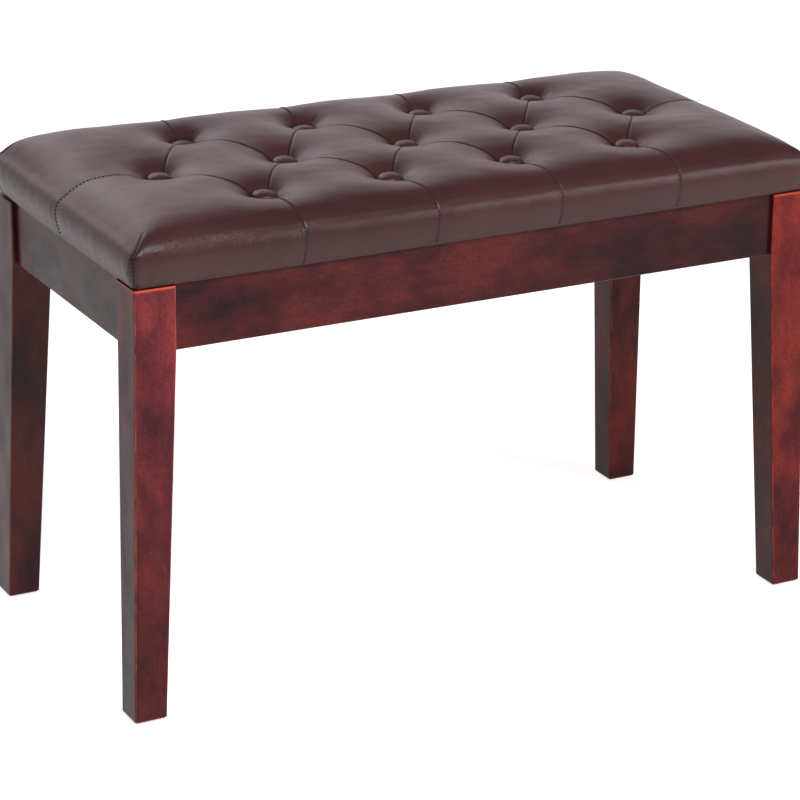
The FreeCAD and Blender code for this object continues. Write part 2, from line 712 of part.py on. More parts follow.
leather_staples, leather_staple_legs = staple_ring(
    LEATHER_STAPLE_X, LEATHER_STAPLE_Y, LEATHER_UNDERSIDE
)
cover_staples, cover_staple_legs = staple_ring(
    DUST_COVER_HALF_X - COVER_STAPLE_MARGIN, DUST_COVER_HALF_Y - COVER_STAPLE_MARGIN,
    DUST_COVER_UNDERSIDE,
)
staple_legs = leather_staple_legs + cover_staple_legs
save("upholstery_staples", *(leather_staples + cover_staples))

twine_start = BOARD_UNDERSIDE + TOGGLE_POCKET_DEPTH
twines = [button_axis(x, y, TWINE_RADIUS, twine_start, DIMPLE_FLOOR) for x, y in BUTTON_CENTRES]
save("tufting_twine", *twines)
save("tufting_buttons", *[tufting_button(x, y) for x, y in BUTTON_CENTRES])
save("tufting_toggles", *[
    button_axis(x, y, TOGGLE_RADIUS, twine_start - TOGGLE_THICKNESS, twine_start)
    for x, y in BUTTON_CENTRES
])

board_half_x = HALF_LENGTH - BOARD_MARGIN
board_half_y = HALF_DEPTH - BOARD_MARGIN
board_blank = rounded_plate(
    board_half_x, board_half_y, BOARD_CORNER_RADIUS, BOARD_UNDERSIDE, BOARD_TOP
)
board_holes = [
    button_axis(x, y, TWINE_HOLE_RADIUS, BOARD_UNDERSIDE, BOARD_TOP)
    for x, y in BUTTON_CENTRES
]
toggle_pockets = [
    button_axis(x, y, TOGGLE_POCKET_RADIUS, BOARD_UNDERSIDE, twine_start)
    for x, y in BUTTON_CENTRES
]
under_seat_holes = lid_hinge_holes + lid_stay_holes + staple_legs
save("seat_board", board_blank.cut(board_holes + toggle_pockets + under_seat_holes))

padding = cushion_blank(LEATHER_THICKNESS)
save("foam_pad", padding.cut([board_blank] + twines))

opening = box(
    LEATHER_TURN_UNDER - CUSHION_HALF_X, CUSHION_HALF_X - LEATHER_TURN_UNDER,
    LEATHER_TURN_UNDER - CUSHION_HALF_Y, CUSHION_HALF_Y - LEATHER_TURN_UNDER,
    LEATHER_UNDERSIDE, BOARD_UNDERSIDE,
)
cover = cushion_blank(0).cut([padding, opening])
save("leather_cover", cover.cut(twines + under_seat_holes))

dust_cover = box(
    -DUST_COVER_HALF_X, DUST_COVER_HALF_X, -DUST_COVER_HALF_Y, DUST_COVER_HALF_Y,
    DUST_COVER_UNDERSIDE, LEATHER_UNDERSIDE,
)
save("dust_cover", dust_cover.cut(cover_staple_legs))

felt_x = HALF_LENGTH - FELT_FROM_LEG_FACE
felt_y = HALF_DEPTH - FELT_FROM_LEG_FACE
save("lid_felt_pads", *[
    cylinder(Vector(side_x * felt_x, side_y * felt_y, FRAME_TOP), UP, FELT_RADIUS, FELT_THICKNESS)
    for side_x, side_y in CORNERS.values()
])

lid_bore = HINGE_PIN_RADIUS + HINGE_RUNNING_GAP
save("hinge_lid_leaves", *[
    hinge_leaf(centre, (1, 3), LID_LEAF_UNDERSIDE, lid_bore).cut(lid_hinge_holes)
    for centre in HINGE_CENTRES_X
])
save("hinge_lid_screws", *lid_hinge_screws)
save("stay_lid_bracket", stay_lid_bracket().cut(lid_stay_holes))
save("stay_lid_screws", *lid_stay_screws)


# ------------------------------------------------------------ write the stay

stud_bore = STAY_STUD_RADIUS + STAY_BORE_GAP
elbow_bore = STAY_ELBOW_RADIUS + STAY_BORE_GAP
save("stay_lower_arm", stay_arm(
    LOWER_ARM_X, STAY_BASE_PIVOT, STAY_ELBOW, stud_bore, STAY_ELBOW_RADIUS
))
save("stay_upper_arm", stay_arm(
    UPPER_ARM_X, STAY_LID_PIVOT, STAY_ELBOW, stud_bore, elbow_bore
))
save("stay_elbow_rivet", stay_elbow_rivet())
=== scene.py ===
import math

import bpy
import numpy as np
from mathutils import Matrix, Vector
from mathutils.bvhtree import BVHTree


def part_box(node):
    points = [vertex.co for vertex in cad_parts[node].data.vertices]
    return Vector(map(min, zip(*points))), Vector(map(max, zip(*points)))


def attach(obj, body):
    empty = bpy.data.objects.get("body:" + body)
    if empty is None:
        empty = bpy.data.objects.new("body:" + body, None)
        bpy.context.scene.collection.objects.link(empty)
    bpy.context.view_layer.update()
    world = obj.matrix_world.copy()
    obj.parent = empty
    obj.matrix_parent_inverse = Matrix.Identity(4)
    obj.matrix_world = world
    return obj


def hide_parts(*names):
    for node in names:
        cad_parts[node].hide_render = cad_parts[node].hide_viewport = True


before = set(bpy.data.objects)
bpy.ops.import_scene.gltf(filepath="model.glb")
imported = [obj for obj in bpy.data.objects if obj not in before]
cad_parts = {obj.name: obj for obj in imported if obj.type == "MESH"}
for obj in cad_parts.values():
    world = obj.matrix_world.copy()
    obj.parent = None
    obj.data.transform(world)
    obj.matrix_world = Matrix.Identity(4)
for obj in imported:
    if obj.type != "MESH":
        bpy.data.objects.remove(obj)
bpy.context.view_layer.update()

MM = 0.001
SEED = 7

# ---- camera

CAMERA_PLACE = Vector((-1.4511, -2.7397, 1.3705))
CAMERA_TURN = math.radians(28.455)
CAMERA_DIP = math.radians(19.200)
CAMERA_ROLL = math.radians(0.750)
CAMERA_LENS = 140.75
CAMERA_SHIFT = (-0.0396, -0.0870)
CAMERA_FAR = 50


def make_camera():
    """Long-lens camera at the front left, looking down on the bench."""
    forward = Vector((
        math.sin(CAMERA_TURN) * math.cos(CAMERA_DIP),
        math.cos(CAMERA_TURN) * math.cos(CAMERA_DIP),
        -math.sin(CAMERA_DIP),
    ))
    level = Vector((math.cos(CAMERA_TURN), -math.sin(CAMERA_TURN), 0))
    upright = level.cross(forward)
    right = level * math.cos(CAMERA_ROLL) + upright * math.sin(CAMERA_ROLL)
    up = upright * math.cos(CAMERA_ROLL) - level * math.sin(CAMERA_ROLL)
    data = bpy.data.cameras.new("camera")
    data.lens = CAMERA_LENS
    data.shift_x, data.shift_y = CAMERA_SHIFT
    data.clip_end = CAMERA_FAR
    camera = bpy.data.objects.new("camera", data)
    rotation = Matrix((right, up, -forward)).transposed().to_4x4()
    camera.matrix_world = Matrix.Translation(CAMERA_PLACE) @ rotation
    bpy.context.collection.objects.link(camera)
    bpy.context.scene.camera = camera


# ---- light and floor

BRIGHT_SIDE = (-0.12, 0.90, -0.42)
SURROUND_TONES = [(0.54, 0.06), (0.80, (1.0, 0.90, 0.94))]
SURROUND_STRENGTH = 1.2
AREA_LIGHTS = {
    # name: place, target and size in metres, power in watts
    "key": ((2.4, -2.6, 1.8), (0.1, 0, 0.3), (1.4, 1.4), 72),
    "overhead": ((-0.3, -1.6, 2.6), (-0.2, -0.1, 0.45), (0.8, 0.22), 64),
    "back": ((-0.6, 3.4, 2.6), (0, 0.6, 0), (3.0, 1.6), 30),
}
FLOOR_SIZE = 40
FLOOR_GREY = 0.60
FLOOR_GLOW = 0.76


def area_light(name, place, target, size, power):
    data = bpy.data.lights.new(name, "AREA")
    data.shape = "RECTANGLE"
    data.size, data.size_y = size
    data.energy = power
    light = bpy.data.objects.new(name, data)
    light.location = place
    light.rotation_euler = (Vector(target) - Vector(place)).to_track_quat("-Z", "Y").to_euler()
    bpy.context.collection.objects.link(light)


def make_studio():
    """Pale surroundings brightest low at the back, soft lights and a pale floor."""
    world = bpy.data.worlds.new("studio")
    world.use_nodes = True
    tree = world.node_tree
    direction = add_node(tree, "ShaderNodeTexCoord").outputs["Generated"]
    towards_light = add_node(
        tree, "ShaderNodeVectorMath", {0: direction, 1: BRIGHT_SIDE}, operation="DOT_PRODUCT"
    ).outputs["Value"]
    zero_to_one = math_node(tree, "MULTIPLY_ADD", towards_light, 0.5, 0.5)
    glow = colour_ramp(tree, zero_to_one, SURROUND_TONES)
    background = tree.nodes["Background"]
    tree.links.new(glow, background.inputs["Color"])
    background.inputs["Strength"].default_value = SURROUND_STRENGTH
    bpy.context.scene.world = world
    bpy.context.scene.view_settings.view_transform = "Standard"

    for name, (place, target, size, power) in AREA_LIGHTS.items():
        area_light(name, place, target, size, power)

    bpy.ops.mesh.primitive_plane_add(size=FLOOR_SIZE, location=(0, 0, 0))
    floor = bpy.context.object
    floor.name = "floor"
    material, tree = new_material("floor_paper")
    shade(tree, Base_Color=(FLOOR_GREY, FLOOR_GREY, FLOOR_GREY, 1), Roughness=0.9,
          Specular_IOR_Level=0.1, Emission_Color=(1, 1, 1, 1), Emission_Strength=FLOOR_GLOW)
    floor.data.materials.append(material)


# ---- material building

def new_material(name):
    material = bpy.data.materials.new(name)
    material.use_nodes = True
    return material, material.node_tree


def set_input(tree, socket, value):
    """Links a socket to another one or gives it a constant."""
    if isinstance(value, bpy.types.NodeSocket):
        tree.links.new(value, socket)
    else:
        socket.default_value = value


def add_node(tree, kind, links=None, **settings):
    """A node with its properties set and its inputs set or linked by name."""
    node = tree.nodes.new(kind)
    for key, value in settings.items():
        setattr(node, key, value)
    for key, value in (links or {}).items():
        set_input(tree, node.inputs[key], value)
    return node


def object_coordinates(tree, scale=(1, 1, 1)):
    """Object coordinates scaled by a different factor along each axis."""
    coordinates = add_node(tree, "ShaderNodeTexCoord")
    links = {"Vector": coordinates.outputs["Object"], "Scale": scale}
    return add_node(tree, "ShaderNodeMapping", links).outputs["Vector"]


def drawn_out(tree, axis, share):
    """Object coordinates for marks that are drawn out along one axis."""
    scale = [1.0, 1.0, 1.0]
    scale[axis] = share
    return object_coordinates(tree, scale)


def axis_parts(tree, kind):
    """X, Y and Z of the Object place or of the Normal direction."""
    vector = add_node(tree, "ShaderNodeTexCoord").outputs[kind]
    return add_node(tree, "ShaderNodeSeparateXYZ", {"Vector": vector}).outputs


def noise_field(tree, vector, scale, detail=4.0, roughness=0.55):
    links = {"Vector": vector, "Scale": scale, "Detail": detail, "Roughness": roughness}
    return add_node(tree, "ShaderNodeTexNoise", links).outputs["Fac"]


def colour_ramp(tree, value, stops):
    """Colour ramp over (position, colour) stops; a grey stop is one number."""
    node = add_node(tree, "ShaderNodeValToRGB", {"Fac": value})
    ramp = node.color_ramp
    while len(ramp.elements) < len(stops):
        ramp.elements.new(0.5)
    for element, (position, colour) in zip(ramp.elements, stops):
        element.position = position
        if isinstance(colour, (int, float)):
            colour = (colour, colour, colour)
        element.color = (*colour, 1)
    return node.outputs["Color"]


def mix_colours(tree, factor, first, second, blend="MIX"):
    links = {0: factor, 6: first, 7: second}
    settings = {"data_type": "RGBA", "blend_type": blend}
    return add_node(tree, "ShaderNodeMix", links, **settings).outputs[2]


def math_node(tree, operation, first, second=0.0, third=0.0):
    links = {0: first, 1: second, 2: third}
    return add_node(tree, "ShaderNodeMath", links, operation=operation).outputs[0]


def ramp_between(tree, value, start, end):
    """0 where value is start, 1 where it is end."""
    return add_node(tree, "ShaderNodeMapRange", {
        "Value": value, "From Min": start, "From Max": end,
    }).outputs["Result"]


def bump(tree, height, strength, distance, normal=None):
    links = {"Height": height, "Strength": strength, "Distance": distance}
    if normal is not None:
        links["Normal"] = normal
    return add_node(tree, "ShaderNodeBump", links).outputs["Normal"]


def shade(tree, **inputs):
    """Set or link inputs of the principled shader; underscores are spaces."""
    shader = tree.nodes["Principled BSDF"]
    for key, value in inputs.items():
        set_input(tree, shader.inputs[key.replace("_", " ")], value)


# ---- materials

STAIN_TONES = (
    (0.34, (0.026, 0.0042, 0.0050)), (0.49, (0.074, 0.0092, 0.0096)),
    (0.64, (0.140, 0.0180, 0.0130)),
)
# Light orange of stain rubbed through; on the front legs' top edges it is partly a painted
# highlight.
WORN_AND_HIGHLIGHT_TONE = (0.27, 0.042, 0.018)
LACQUER_IOR = 1.28
LEATHER_TONES = [(0.35, (0.039, 0.0142, 0.0148)), (0.65, (0.051, 0.0182, 0.0190))]
LEATHER_ROUGHNESS = 0.30
# Tone of the painted shade in creases and in the rings round the buttons.
CREASE_SHADE_TONE = 0.16
PLY_LIGHT, PLY_DARK = (0.62, 0.44, 0.26), (0.47, 0.31, 0.17)
BLOCK_LIGHT, BLOCK_DARK = (0.60, 0.43, 0.25), (0.44, 0.29, 0.15)
DOWEL_LIGHT, DOWEL_DARK = (0.66, 0.50, 0.31), (0.52, 0.37, 0.21)
FELT_COLOUR = (0.035, 0.030, 0.028)
LINING_COLOUR = (0.020, 0.020, 0.021)
NYLON_TONES = [(0.35, (0.6192, 0.602, 0.5504)), (0.65, (0.72, 0.70, 0.64))]
TWINE_TONES = [(0.2, (0.36, 0.31, 0.22)), (0.8, (0.66, 0.60, 0.46))]
THREAD_TONES = [(0.35, (0.006, 0.003, 0.003)), (0.7, (0.018, 0.009, 0.009))]


def arris_mask(tree):
    """1 on rounded edges and 0 on faces square to the axes."""
    sizes = [math_node(tree, "ABSOLUTE", part) for part in axis_parts(tree, "Normal")]
    largest = math_node(tree, "MAXIMUM", math_node(tree, "MAXIMUM", *sizes[:2]), sizes[2])
    off_axis = math_node(tree, "SUBTRACT", 1.0, largest)
    return colour_ramp(tree, off_axis, [(0.04, 0.0), (0.16, 1.0)])


def wood_material(name, grain_axis, tone, fade=(2, 0.0, 1.0, 1.0), worn_and_highlit_above=1.0,
                  left_shade_tone=1.0, gloss=0.45):
    """Mahogany-stained wood under satin lacquer, worn orange on its arrises.

    tone: strength of the colour's red, green and blue, partly the stain and partly
    painted shade, lower for pieces in shade and higher for lit ones. fade: an axis,
    two places along it, and the colour's tone at the second. The height for wear:
    above it the top edge is painted light orange, partly rubbed-through stain and
    partly a painted highlight. The left tone: painted shade, the tone on faces that
    look along -X.
    """
    material, tree = new_material(name)
    even_space = object_coordinates(tree)
    grain_space = drawn_out(tree, grain_axis, 0.07)
    cloud_space = drawn_out(tree, grain_axis, 0.55)

    def toned(colour):
        return tuple(strength * channel for strength, channel in zip(tone, colour))

    clouds = noise_field(tree, cloud_space, 20.0, detail=5.0, roughness=0.62)
    # The tone scales the stain colours and is partly painted shade.
    stained = colour_ramp(tree, clouds, [(stop, toned(colour)) for stop, colour in STAIN_TONES])
    figure = noise_field(tree, grain_space, 260.0, detail=5.0, roughness=0.6)
    streaks = colour_ramp(tree, figure, [(0.35, 0.80), (0.6, 1.0)])
    speckles = colour_ramp(
        tree, noise_field(tree, even_space, 420.0), [(0.36, 0.60), (0.62, 1.0)]
    )
    pores = noise_field(tree, grain_space, 900.0, detail=2.0)
    pore_marks = colour_ramp(tree, pores, [(0.30, 0.45), (0.42, 1.0)])
    place = axis_parts(tree, "Object")
    # Fade: the colour changes tone along one axis; on the front left leg this is painted shade,
    # darker towards the foot.
    fade_axis, fade_start, fade_end, fade_tone = fade
    faded = ramp_between(tree, place[fade_axis], fade_start, fade_end)
    fading = colour_ramp(tree, faded, [(0.0, 1.0), (1.0, fade_tone)])
    facing = axis_parts(tree, "Normal")
    # Painted shade: faces that look along -X are darkened by the left tone.
    leftward = ramp_between(tree, facing["X"], -0.5, -0.9)
    left_painted_shade = colour_ramp(tree, leftward, [(0.0, 1.0), (1.0, left_shade_tone)])
    for share, layer in ((0.5, streaks), (0.7, speckles), (0.35, pore_marks), (1.0, fading)):
        stained = mix_colours(tree, share, stained, layer, "MULTIPLY")

    wear_noise = noise_field(tree, even_space, 45.0)
    wear_patches = colour_ramp(tree, wear_noise, [(0.38, 0.12), (0.62, 1.0)])
    worn_arris = math_node(tree, "MULTIPLY", arris_mask(tree), wear_patches)
    # Above the given height the top edge takes the light orange: partly rubbed stain, partly a
    # painted highlight.
    above = ramp_between(tree, place["Z"], worn_and_highlit_above - MM, worn_and_highlit_above + 0.5 * MM)
    off_flat_top = ramp_between(tree, facing["Z"], 0.98, 0.85)
    worn_and_highlit_top = math_node(tree, "MULTIPLY", above, off_flat_top)
    worn = math_node(tree, "MAXIMUM", worn_arris, worn_and_highlit_top)
    colour = mix_colours(tree, worn, stained, (*toned(WORN_AND_HIGHLIGHT_TONE), 1))
    colour = mix_colours(tree, 1.0, colour, left_painted_shade, "MULTIPLY")

    smears = noise_field(tree, cloud_space, 42.0)
    roughness = colour_ramp(tree, smears, [(0.3, 0.30), (0.7, 0.44)])
    lacquer = bump(tree, figure, 0.05, 0.0006)
    lacquer = bump(tree, pores, 0.05, 0.0003, lacquer)
    shade(tree, Base_Color=colour, Roughness=roughness, Normal=lacquer,
          IOR=LACQUER_IOR, Specular_IOR_Level=gloss)
    return material


def leather_material(name):
    """Smooth dark brown coated leather with a fine pebble grain.

    The mesh attribute for creases is 1 in the bottom of a seam or pleat and in a
    ring round each button, where the colour is darkened as painted shade and the
    roughness raised.
    """
    material, tree = new_material(name)
    space = object_coordinates(tree)
    clouds = noise_field(tree, space, 9.0, detail=3.0)
    colour = colour_ramp(tree, clouds, LEATHER_TONES)
    pebbles = add_node(
        tree, "ShaderNodeTexVoronoi", {"Vector": space, "Scale": 900.0}
    ).outputs["Distance"]
    grain = noise_field(tree, space, 900.0, detail=3.0)
    valleys = colour_ramp(tree, pebbles, [(0.05, 0.84), (0.45, 1.0)])
    colour = mix_colours(tree, 0.6, colour, valleys, "MULTIPLY")
    # Painted shade: the colour is darkened along pleat lines, corner folds and rings round the
    # buttons.
    crease_shade = add_node(tree, "ShaderNodeAttribute", attribute_name="crease_shade").outputs["Fac"]
    crease_shading = colour_ramp(tree, crease_shade, [(0.1, 1.0), (0.9, CREASE_SHADE_TONE)])
    colour = mix_colours(tree, 1.0, colour, crease_shading, "MULTIPLY")
    hand_marks = noise_field(tree, space, 55.0, detail=3.0)
    marks = math_node(tree, "MULTIPLY_ADD", hand_marks, 0.06, LEATHER_ROUGHNESS)
    roughness = math_node(tree, "MAXIMUM", marks, math_node(tree, "MULTIPLY", crease_shade, 0.8))
    stretched = noise_field(tree, drawn_out(tree, 2, 0.08), 480.0, detail=3.0)
    normal = bump(tree, grain, 0.34, 0.0006)
    normal = bump(tree, stretched, 0.42, 0.0006, normal)
    shade(tree, Base_Color=colour, Roughness=roughness, Normal=normal,
          Specular_IOR_Level=0.21)
    return material


def metal_material(name, colour, roughness):
    """Brushed or plated metal with fine scratches along X."""
    material, tree = new_material(name)
    brushing = noise_field(tree, drawn_out(tree, 0, 0.05), 1500.0, detail=3.0)
    tarnish = noise_field(tree, object_coordinates(tree), 120.0)
    darker = tuple(channel * 0.72 for channel in colour)
    tone = colour_ramp(tree, tarnish, [(0.35, darker), (0.6, colour)])
    brushed = colour_ramp(tree, brushing, [(0.3, roughness - 0.07), (0.7, roughness + 0.09)])
    shade(tree, Base_Color=tone, Metallic=1.0, Roughness=brushed,
          Normal=bump(tree, brushing, 0.06, 0.0002))
    return material


def plain_wood_material(name, grain_axis, light, dark):
    """Bare softwood or the face veneer of plywood."""
    material, tree = new_material(name)
    space = drawn_out(tree, grain_axis, 0.06)
    rings = noise_field(tree, space, 60.0, detail=5.0, roughness=0.65)
    fibres = noise_field(tree, space, 700.0, detail=3.0)
    colour = colour_ramp(tree, rings, [(0.35, dark), (0.6, light)])
    fibre_tone = colour_ramp(tree, fibres, [(0.35, 0.80), (0.6, 1.0)])
    colour = mix_colours(tree, 0.6, colour, fibre_tone, "MULTIPLY")
    shade(tree, Base_Color=colour, Roughness=0.7,
          Normal=bump(tree, fibres, 0.15, 0.0004))
    return material


def plywood_material(name, underside, layer_height):
    """Plywood: veneer on the faces, alternating plies on the edges."""
    material = plain_wood_material(name, 0, PLY_LIGHT, PLY_DARK)
    tree = material.node_tree
    height = math_node(tree, "SUBTRACT", axis_parts(tree, "Object")["Z"], underside)
    ply = math_node(tree, "PINGPONG", height, layer_height)
    plies = colour_ramp(
        tree, math_node(tree, "DIVIDE", ply, layer_height), [(0.45, 0.55), (0.55, 1.0)]
    )
    edge = math_node(tree, "ABSOLUTE", axis_parts(tree, "Normal")["Z"])
    on_edge = colour_ramp(tree, edge, [(0.4, 1.0), (0.6, 0.0)])
    base = tree.nodes["Principled BSDF"].inputs["Base Color"]
    banded = mix_colours(tree, 1.0, base.links[0].from_socket, plies, "MULTIPLY")
    tree.links.new(mix_colours(tree, on_edge, base.links[0].from_socket, banded), base)
    return material


def noise_material(name, tones, scales, relief, roughness, detail=2.0, matting=0.55, sheen=0.0):
    """Felt, cloth, nylon or thread: colour and relief follow noise of two scales."""
    material, tree = new_material(name)
    space = object_coordinates(tree)
    colour_noise, relief_noise = (
        noise_field(tree, space, scale, detail, matting) for scale in scales
    )
    shade(tree, Base_Color=colour_ramp(tree, colour_noise, tones), Roughness=roughness,
          Sheen_Weight=sheen, Normal=bump(tree, relief_noise, *relief))
    return material


def fibre_material(name, colour, scale, strength):
    """Felt or non-woven cloth: matted fibres with a soft sheen."""
    lighter = tuple(min(1.0, channel * 1.7 + 0.01) for channel in colour)
    return noise_material(
        name, [(0.35, colour), (0.65, lighter)], (scale, scale), (strength, 0.0008), 0.92,
        detail=8.0, matting=0.75, sheen=0.4,
    )


def twine_material(name):
    """Twisted waxed twine."""
    material, tree = new_material(name)
    space = object_coordinates(tree)
    twist = add_node(tree, "ShaderNodeTexWave", {
        "Vector": space, "Scale": 260.0, "Distortion": 1.0,
    }, bands_direction="DIAGONAL").outputs["Fac"]
    tone = colour_ramp(tree, twist, TWINE_TONES)
    shade(tree, Base_Color=tone, Roughness=0.8, Normal=bump(tree, twist, 0.4, 0.0004))
    return material


# ---- cushion: driving sizes

COVER_LOW, COVER_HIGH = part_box("leather_cover")
BOARD_LOW, BOARD_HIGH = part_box("seat_board")
_, BUTTONS_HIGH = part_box("tufting_buttons")

BUTTON_RADIUS = 12.5 * MM
COLUMN_PITCH = (BUTTONS_HIGH.x - BUTTON_RADIUS) / 2
ROW_PITCH = BUTTONS_HIGH.y - BUTTON_RADIUS
BUTTON_TOP = BUTTONS_HIGH.z

STRETCH_OUT = 2 * MM
HALF_X = COVER_HIGH.x + STRETCH_OUT
HALF_Y = COVER_HIGH.y + STRETCH_OUT
CORNER_RADIUS = 7 * MM
END_ROLL_RADIUS = 20 * MM
SIDE_ROLL_RADIUS = 9 * MM
ROLL_START = math.radians(56)
END_ROLL_INSET = END_ROLL_RADIUS * (1 - math.cos(ROLL_START))
SIDE_ROLL_INSET = SIDE_ROLL_RADIUS * (1 - math.cos(ROLL_START))
EDGE_HEIGHT = 488.5 * MM
ROLL_BOTTOM = EDGE_HEIGHT - SIDE_ROLL_RADIUS * math.sin(ROLL_START)
CROWN_EXTRA = 2.5 * MM
CROWN_RISE = COVER_HIGH.z + CROWN_EXTRA - EDGE_HEIGHT
CROWN_REACH = 24 * MM
BACK_FILL = 8 * MM
BACK_FILL_WHOLE = 1.6 * ROW_PITCH
BACK_REACH = 15 * MM
SIDE_BULGE = 4 * MM
END_TUCK = 0.5 * MM
SIDE_TUCK = 1 * MM
CORNER_DROP = 6 * MM
CORNER_DROP_REACH = 26 * MM
HEM_ROLL_RADIUS = 3 * MM
HEM_WIDTH = 56 * MM
HEM_THICKNESS = 1.1 * MM
HEM_CLEARANCE = 0.1 * MM
HEM_SAG = COVER_LOW.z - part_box("front_left_leg")[1].z - HEM_CLEARANCE
HEM_SAG_REACH = 7 * MM

DIMPLE_DEPTH = 17 * MM
DIMPLE_FLAT = 11 * MM
DIMPLE_REACH = 19 * MM

RELAX_STEPS = 7
RELAX_SHARE = 0.6
RELAX_NEAR = (16 * MM, 6 * MM)
RELAX_BELOW = (9 * MM, 4 * MM)
CELLS_PER_HALF_PITCH = 16
FINE = 4

TOP_HALF_X = HALF_X - END_ROLL_INSET
TOP_HALF_Y = HALF_Y - SIDE_ROLL_INSET
TOP_CORNER_RADIUS = 6 * MM
TOP_CENTRE_X = TOP_HALF_X - TOP_CORNER_RADIUS
TOP_CENTRE_Y = TOP_HALF_Y - TOP_CORNER_RADIUS

MIDDLE_ROW = [(column * COLUMN_PITCH, 0.0) for column in (-2, -1, 0, 1, 2)]
OUTER_ROWS = [
    (column * COLUMN_PITCH, row * ROW_PITCH)
    for row in (-1, 1)
    for column in (-1.5, -0.5, 0.5, 1.5)
]
BUTTON_CENTRES = MIDDLE_ROW + OUTER_ROWS
EDGE_SEAM_COLUMNS = [column * COLUMN_PITCH for column in (-1.5, -0.5, 0.5, 1.5)]


def smooth_step(values, start, end):
    """0 before start, 1 after end, smooth between them."""
    share = np.clip((values - start) / (end - start), 0, 1)
    return share * share * (3 - 2 * share)


def soft_noise(points, wavelength, seed, waves=18):
    """Smooth field of about unit size made of seeded random sine waves."""
    random = np.random.default_rng(seed)
    directions = random.normal(size=(waves, 3))
    directions /= np.linalg.norm(directions, axis=1, keepdims=True)
    stretch = random.uniform(0.6, 1.7, size=(waves, 1))
    phases = random.uniform(0, 2 * math.pi, size=waves)
    turns = points @ (directions * stretch).T * (2 * math.pi / wavelength)
    return np.sin(turns + phases).sum(axis=1) * math.sqrt(2 / waves)


# ---- cushion: grid and its plan

def spaced_lines(pitch, half_pitches, half_size):
    """Grid lines that fall on the buttons and end on the cushion's edge."""
    step = pitch / CELLS_PER_HALF_PITCH
    last = pitch * half_pitches
    margin_cells = round((half_size - last) / step)
    margin = np.linspace(last, half_size, margin_cells * FINE + 1)
    middle = np.linspace(-last, last, 2 * half_pitches * CELLS_PER_HALF_PITCH * FINE + 1)
    return np.concatenate((-margin[:0:-1], middle, margin[1:]))


def fullness_at_back(x, y):
    """How much fuller the padding is, most of all in the back left corner."""
    return smooth_step(y, 0, BACK_FILL_WHOLE) * (0.5 - 0.5 * x / HALF_X)


def crown_height(x, y):
    """Height of the padded top before its seams are drawn in."""
    from_end = np.maximum(TOP_HALF_X - np.abs(x), 1e-6)
    from_side = np.maximum(TOP_HALF_Y - np.abs(y), 1e-6)
    inside = (from_end ** -2 + from_side ** -2) ** -0.5
    at_back = fullness_at_back(x, y)
    rise = CROWN_RISE + BACK_FILL * at_back
    reach = CROWN_REACH + (BACK_REACH - CROWN_REACH) * at_back
    height = EDGE_HEIGHT + rise * (1 - np.exp(-inside / reach))
    for centre_x, centre_y in BUTTON_CENTRES:
        away = np.hypot(x - centre_x, y - centre_y)
        height = height - DIMPLE_DEPTH * np.exp(
            -np.maximum(0, away - DIMPLE_FLAT) / DIMPLE_REACH
        )
    return height


def ring_points(skeleton, outward, inset_x, inset_y, radius, height):
    """Rounded rectangle with one point for each point of the top's edge."""
    half = np.array([HALF_X - inset_x, HALF_Y - inset_y])
    plan = skeleton * (half - radius) + outward * radius
    return np.column_stack((plan, np.broadcast_to(height, len(plan))))


def hem_sag(skeleton, inset):
    """How far the cover's lower edge hangs down, none of it near the hinges."""
    from_hinges = 1 - smooth_step(skeleton[:, 1], 0.4, 0.9)
    return HEM_SAG * from_hinges * (1 - smooth_step(inset, HEM_ROLL_RADIUS, HEM_SAG_REACH))


def skirt_points(skeleton, outward):
    """Rings from the edge of the top over the roll, down the side to the hem."""
    end_share = outward[:, 0] ** 2
    roll_radius = SIDE_ROLL_RADIUS + (END_ROLL_RADIUS - SIDE_ROLL_RADIUS) * end_share
    roll_bottom = EDGE_HEIGHT - roll_radius * math.sin(ROLL_START)
    side_bottom = COVER_LOW.z + HEM_ROLL_RADIUS - hem_sag(skeleton, 0)
    rings = []
    for angle in np.linspace(ROLL_START, 0, 2 * FINE + 1)[1:]:
        inset = 1 - math.cos(angle)
        share = 1 - angle / ROLL_START
        radius = TOP_CORNER_RADIUS + (CORNER_RADIUS - TOP_CORNER_RADIUS) * share
        height = roll_bottom + roll_radius * math.sin(angle)
        rings.append((END_ROLL_RADIUS * inset, SIDE_ROLL_RADIUS * inset, radius, height))
    for share in np.linspace(0, 1, 5 * FINE + 1)[1:]:
        height = roll_bottom + (side_bottom - roll_bottom) * share
        tuck = share ** 2
        rings.append((END_TUCK * tuck, SIDE_TUCK * tuck, CORNER_RADIUS, height))
    for angle in np.linspace(0, math.pi / 2, FINE + 1)[1:]:
        inset = HEM_ROLL_RADIUS * (1 - math.cos(angle))
        height = side_bottom - HEM_ROLL_RADIUS * math.sin(angle)
        rings.append((END_TUCK + inset, SIDE_TUCK + inset, CORNER_RADIUS - inset, height))
    for inset in np.linspace(HEM_ROLL_RADIUS, HEM_WIDTH - SIDE_TUCK, 4 * FINE + 1)[1:]:
        radius = max(CORNER_RADIUS - inset, MM)
        height = COVER_LOW.z - hem_sag(skeleton, inset)
        rings.append((END_TUCK + inset, SIDE_TUCK + inset, radius, height))
    return np.array([ring_points(skeleton, outward, *ring) for ring in rings])


def lining_points(skeleton, outward):
    """Rings round the edge of the board, inside the cover."""
    gap = 0.2 * MM
    inset_x = HALF_X - BOARD_HIGH.x - gap
    inset_y = HALF_Y - BOARD_HIGH.y - gap
    radius = CORNER_RADIUS - inset_x
    underside = COVER_LOW.z + HEM_THICKNESS
    rings = [
        (HEM_WIDTH, HEM_WIDTH, MM, underside),
        (inset_x, inset_y, radius, underside),
        (inset_x, inset_y, radius, BOARD_HIGH.z + gap),
    ]
    return np.array([ring_points(skeleton, outward, *ring) for ring in rings])


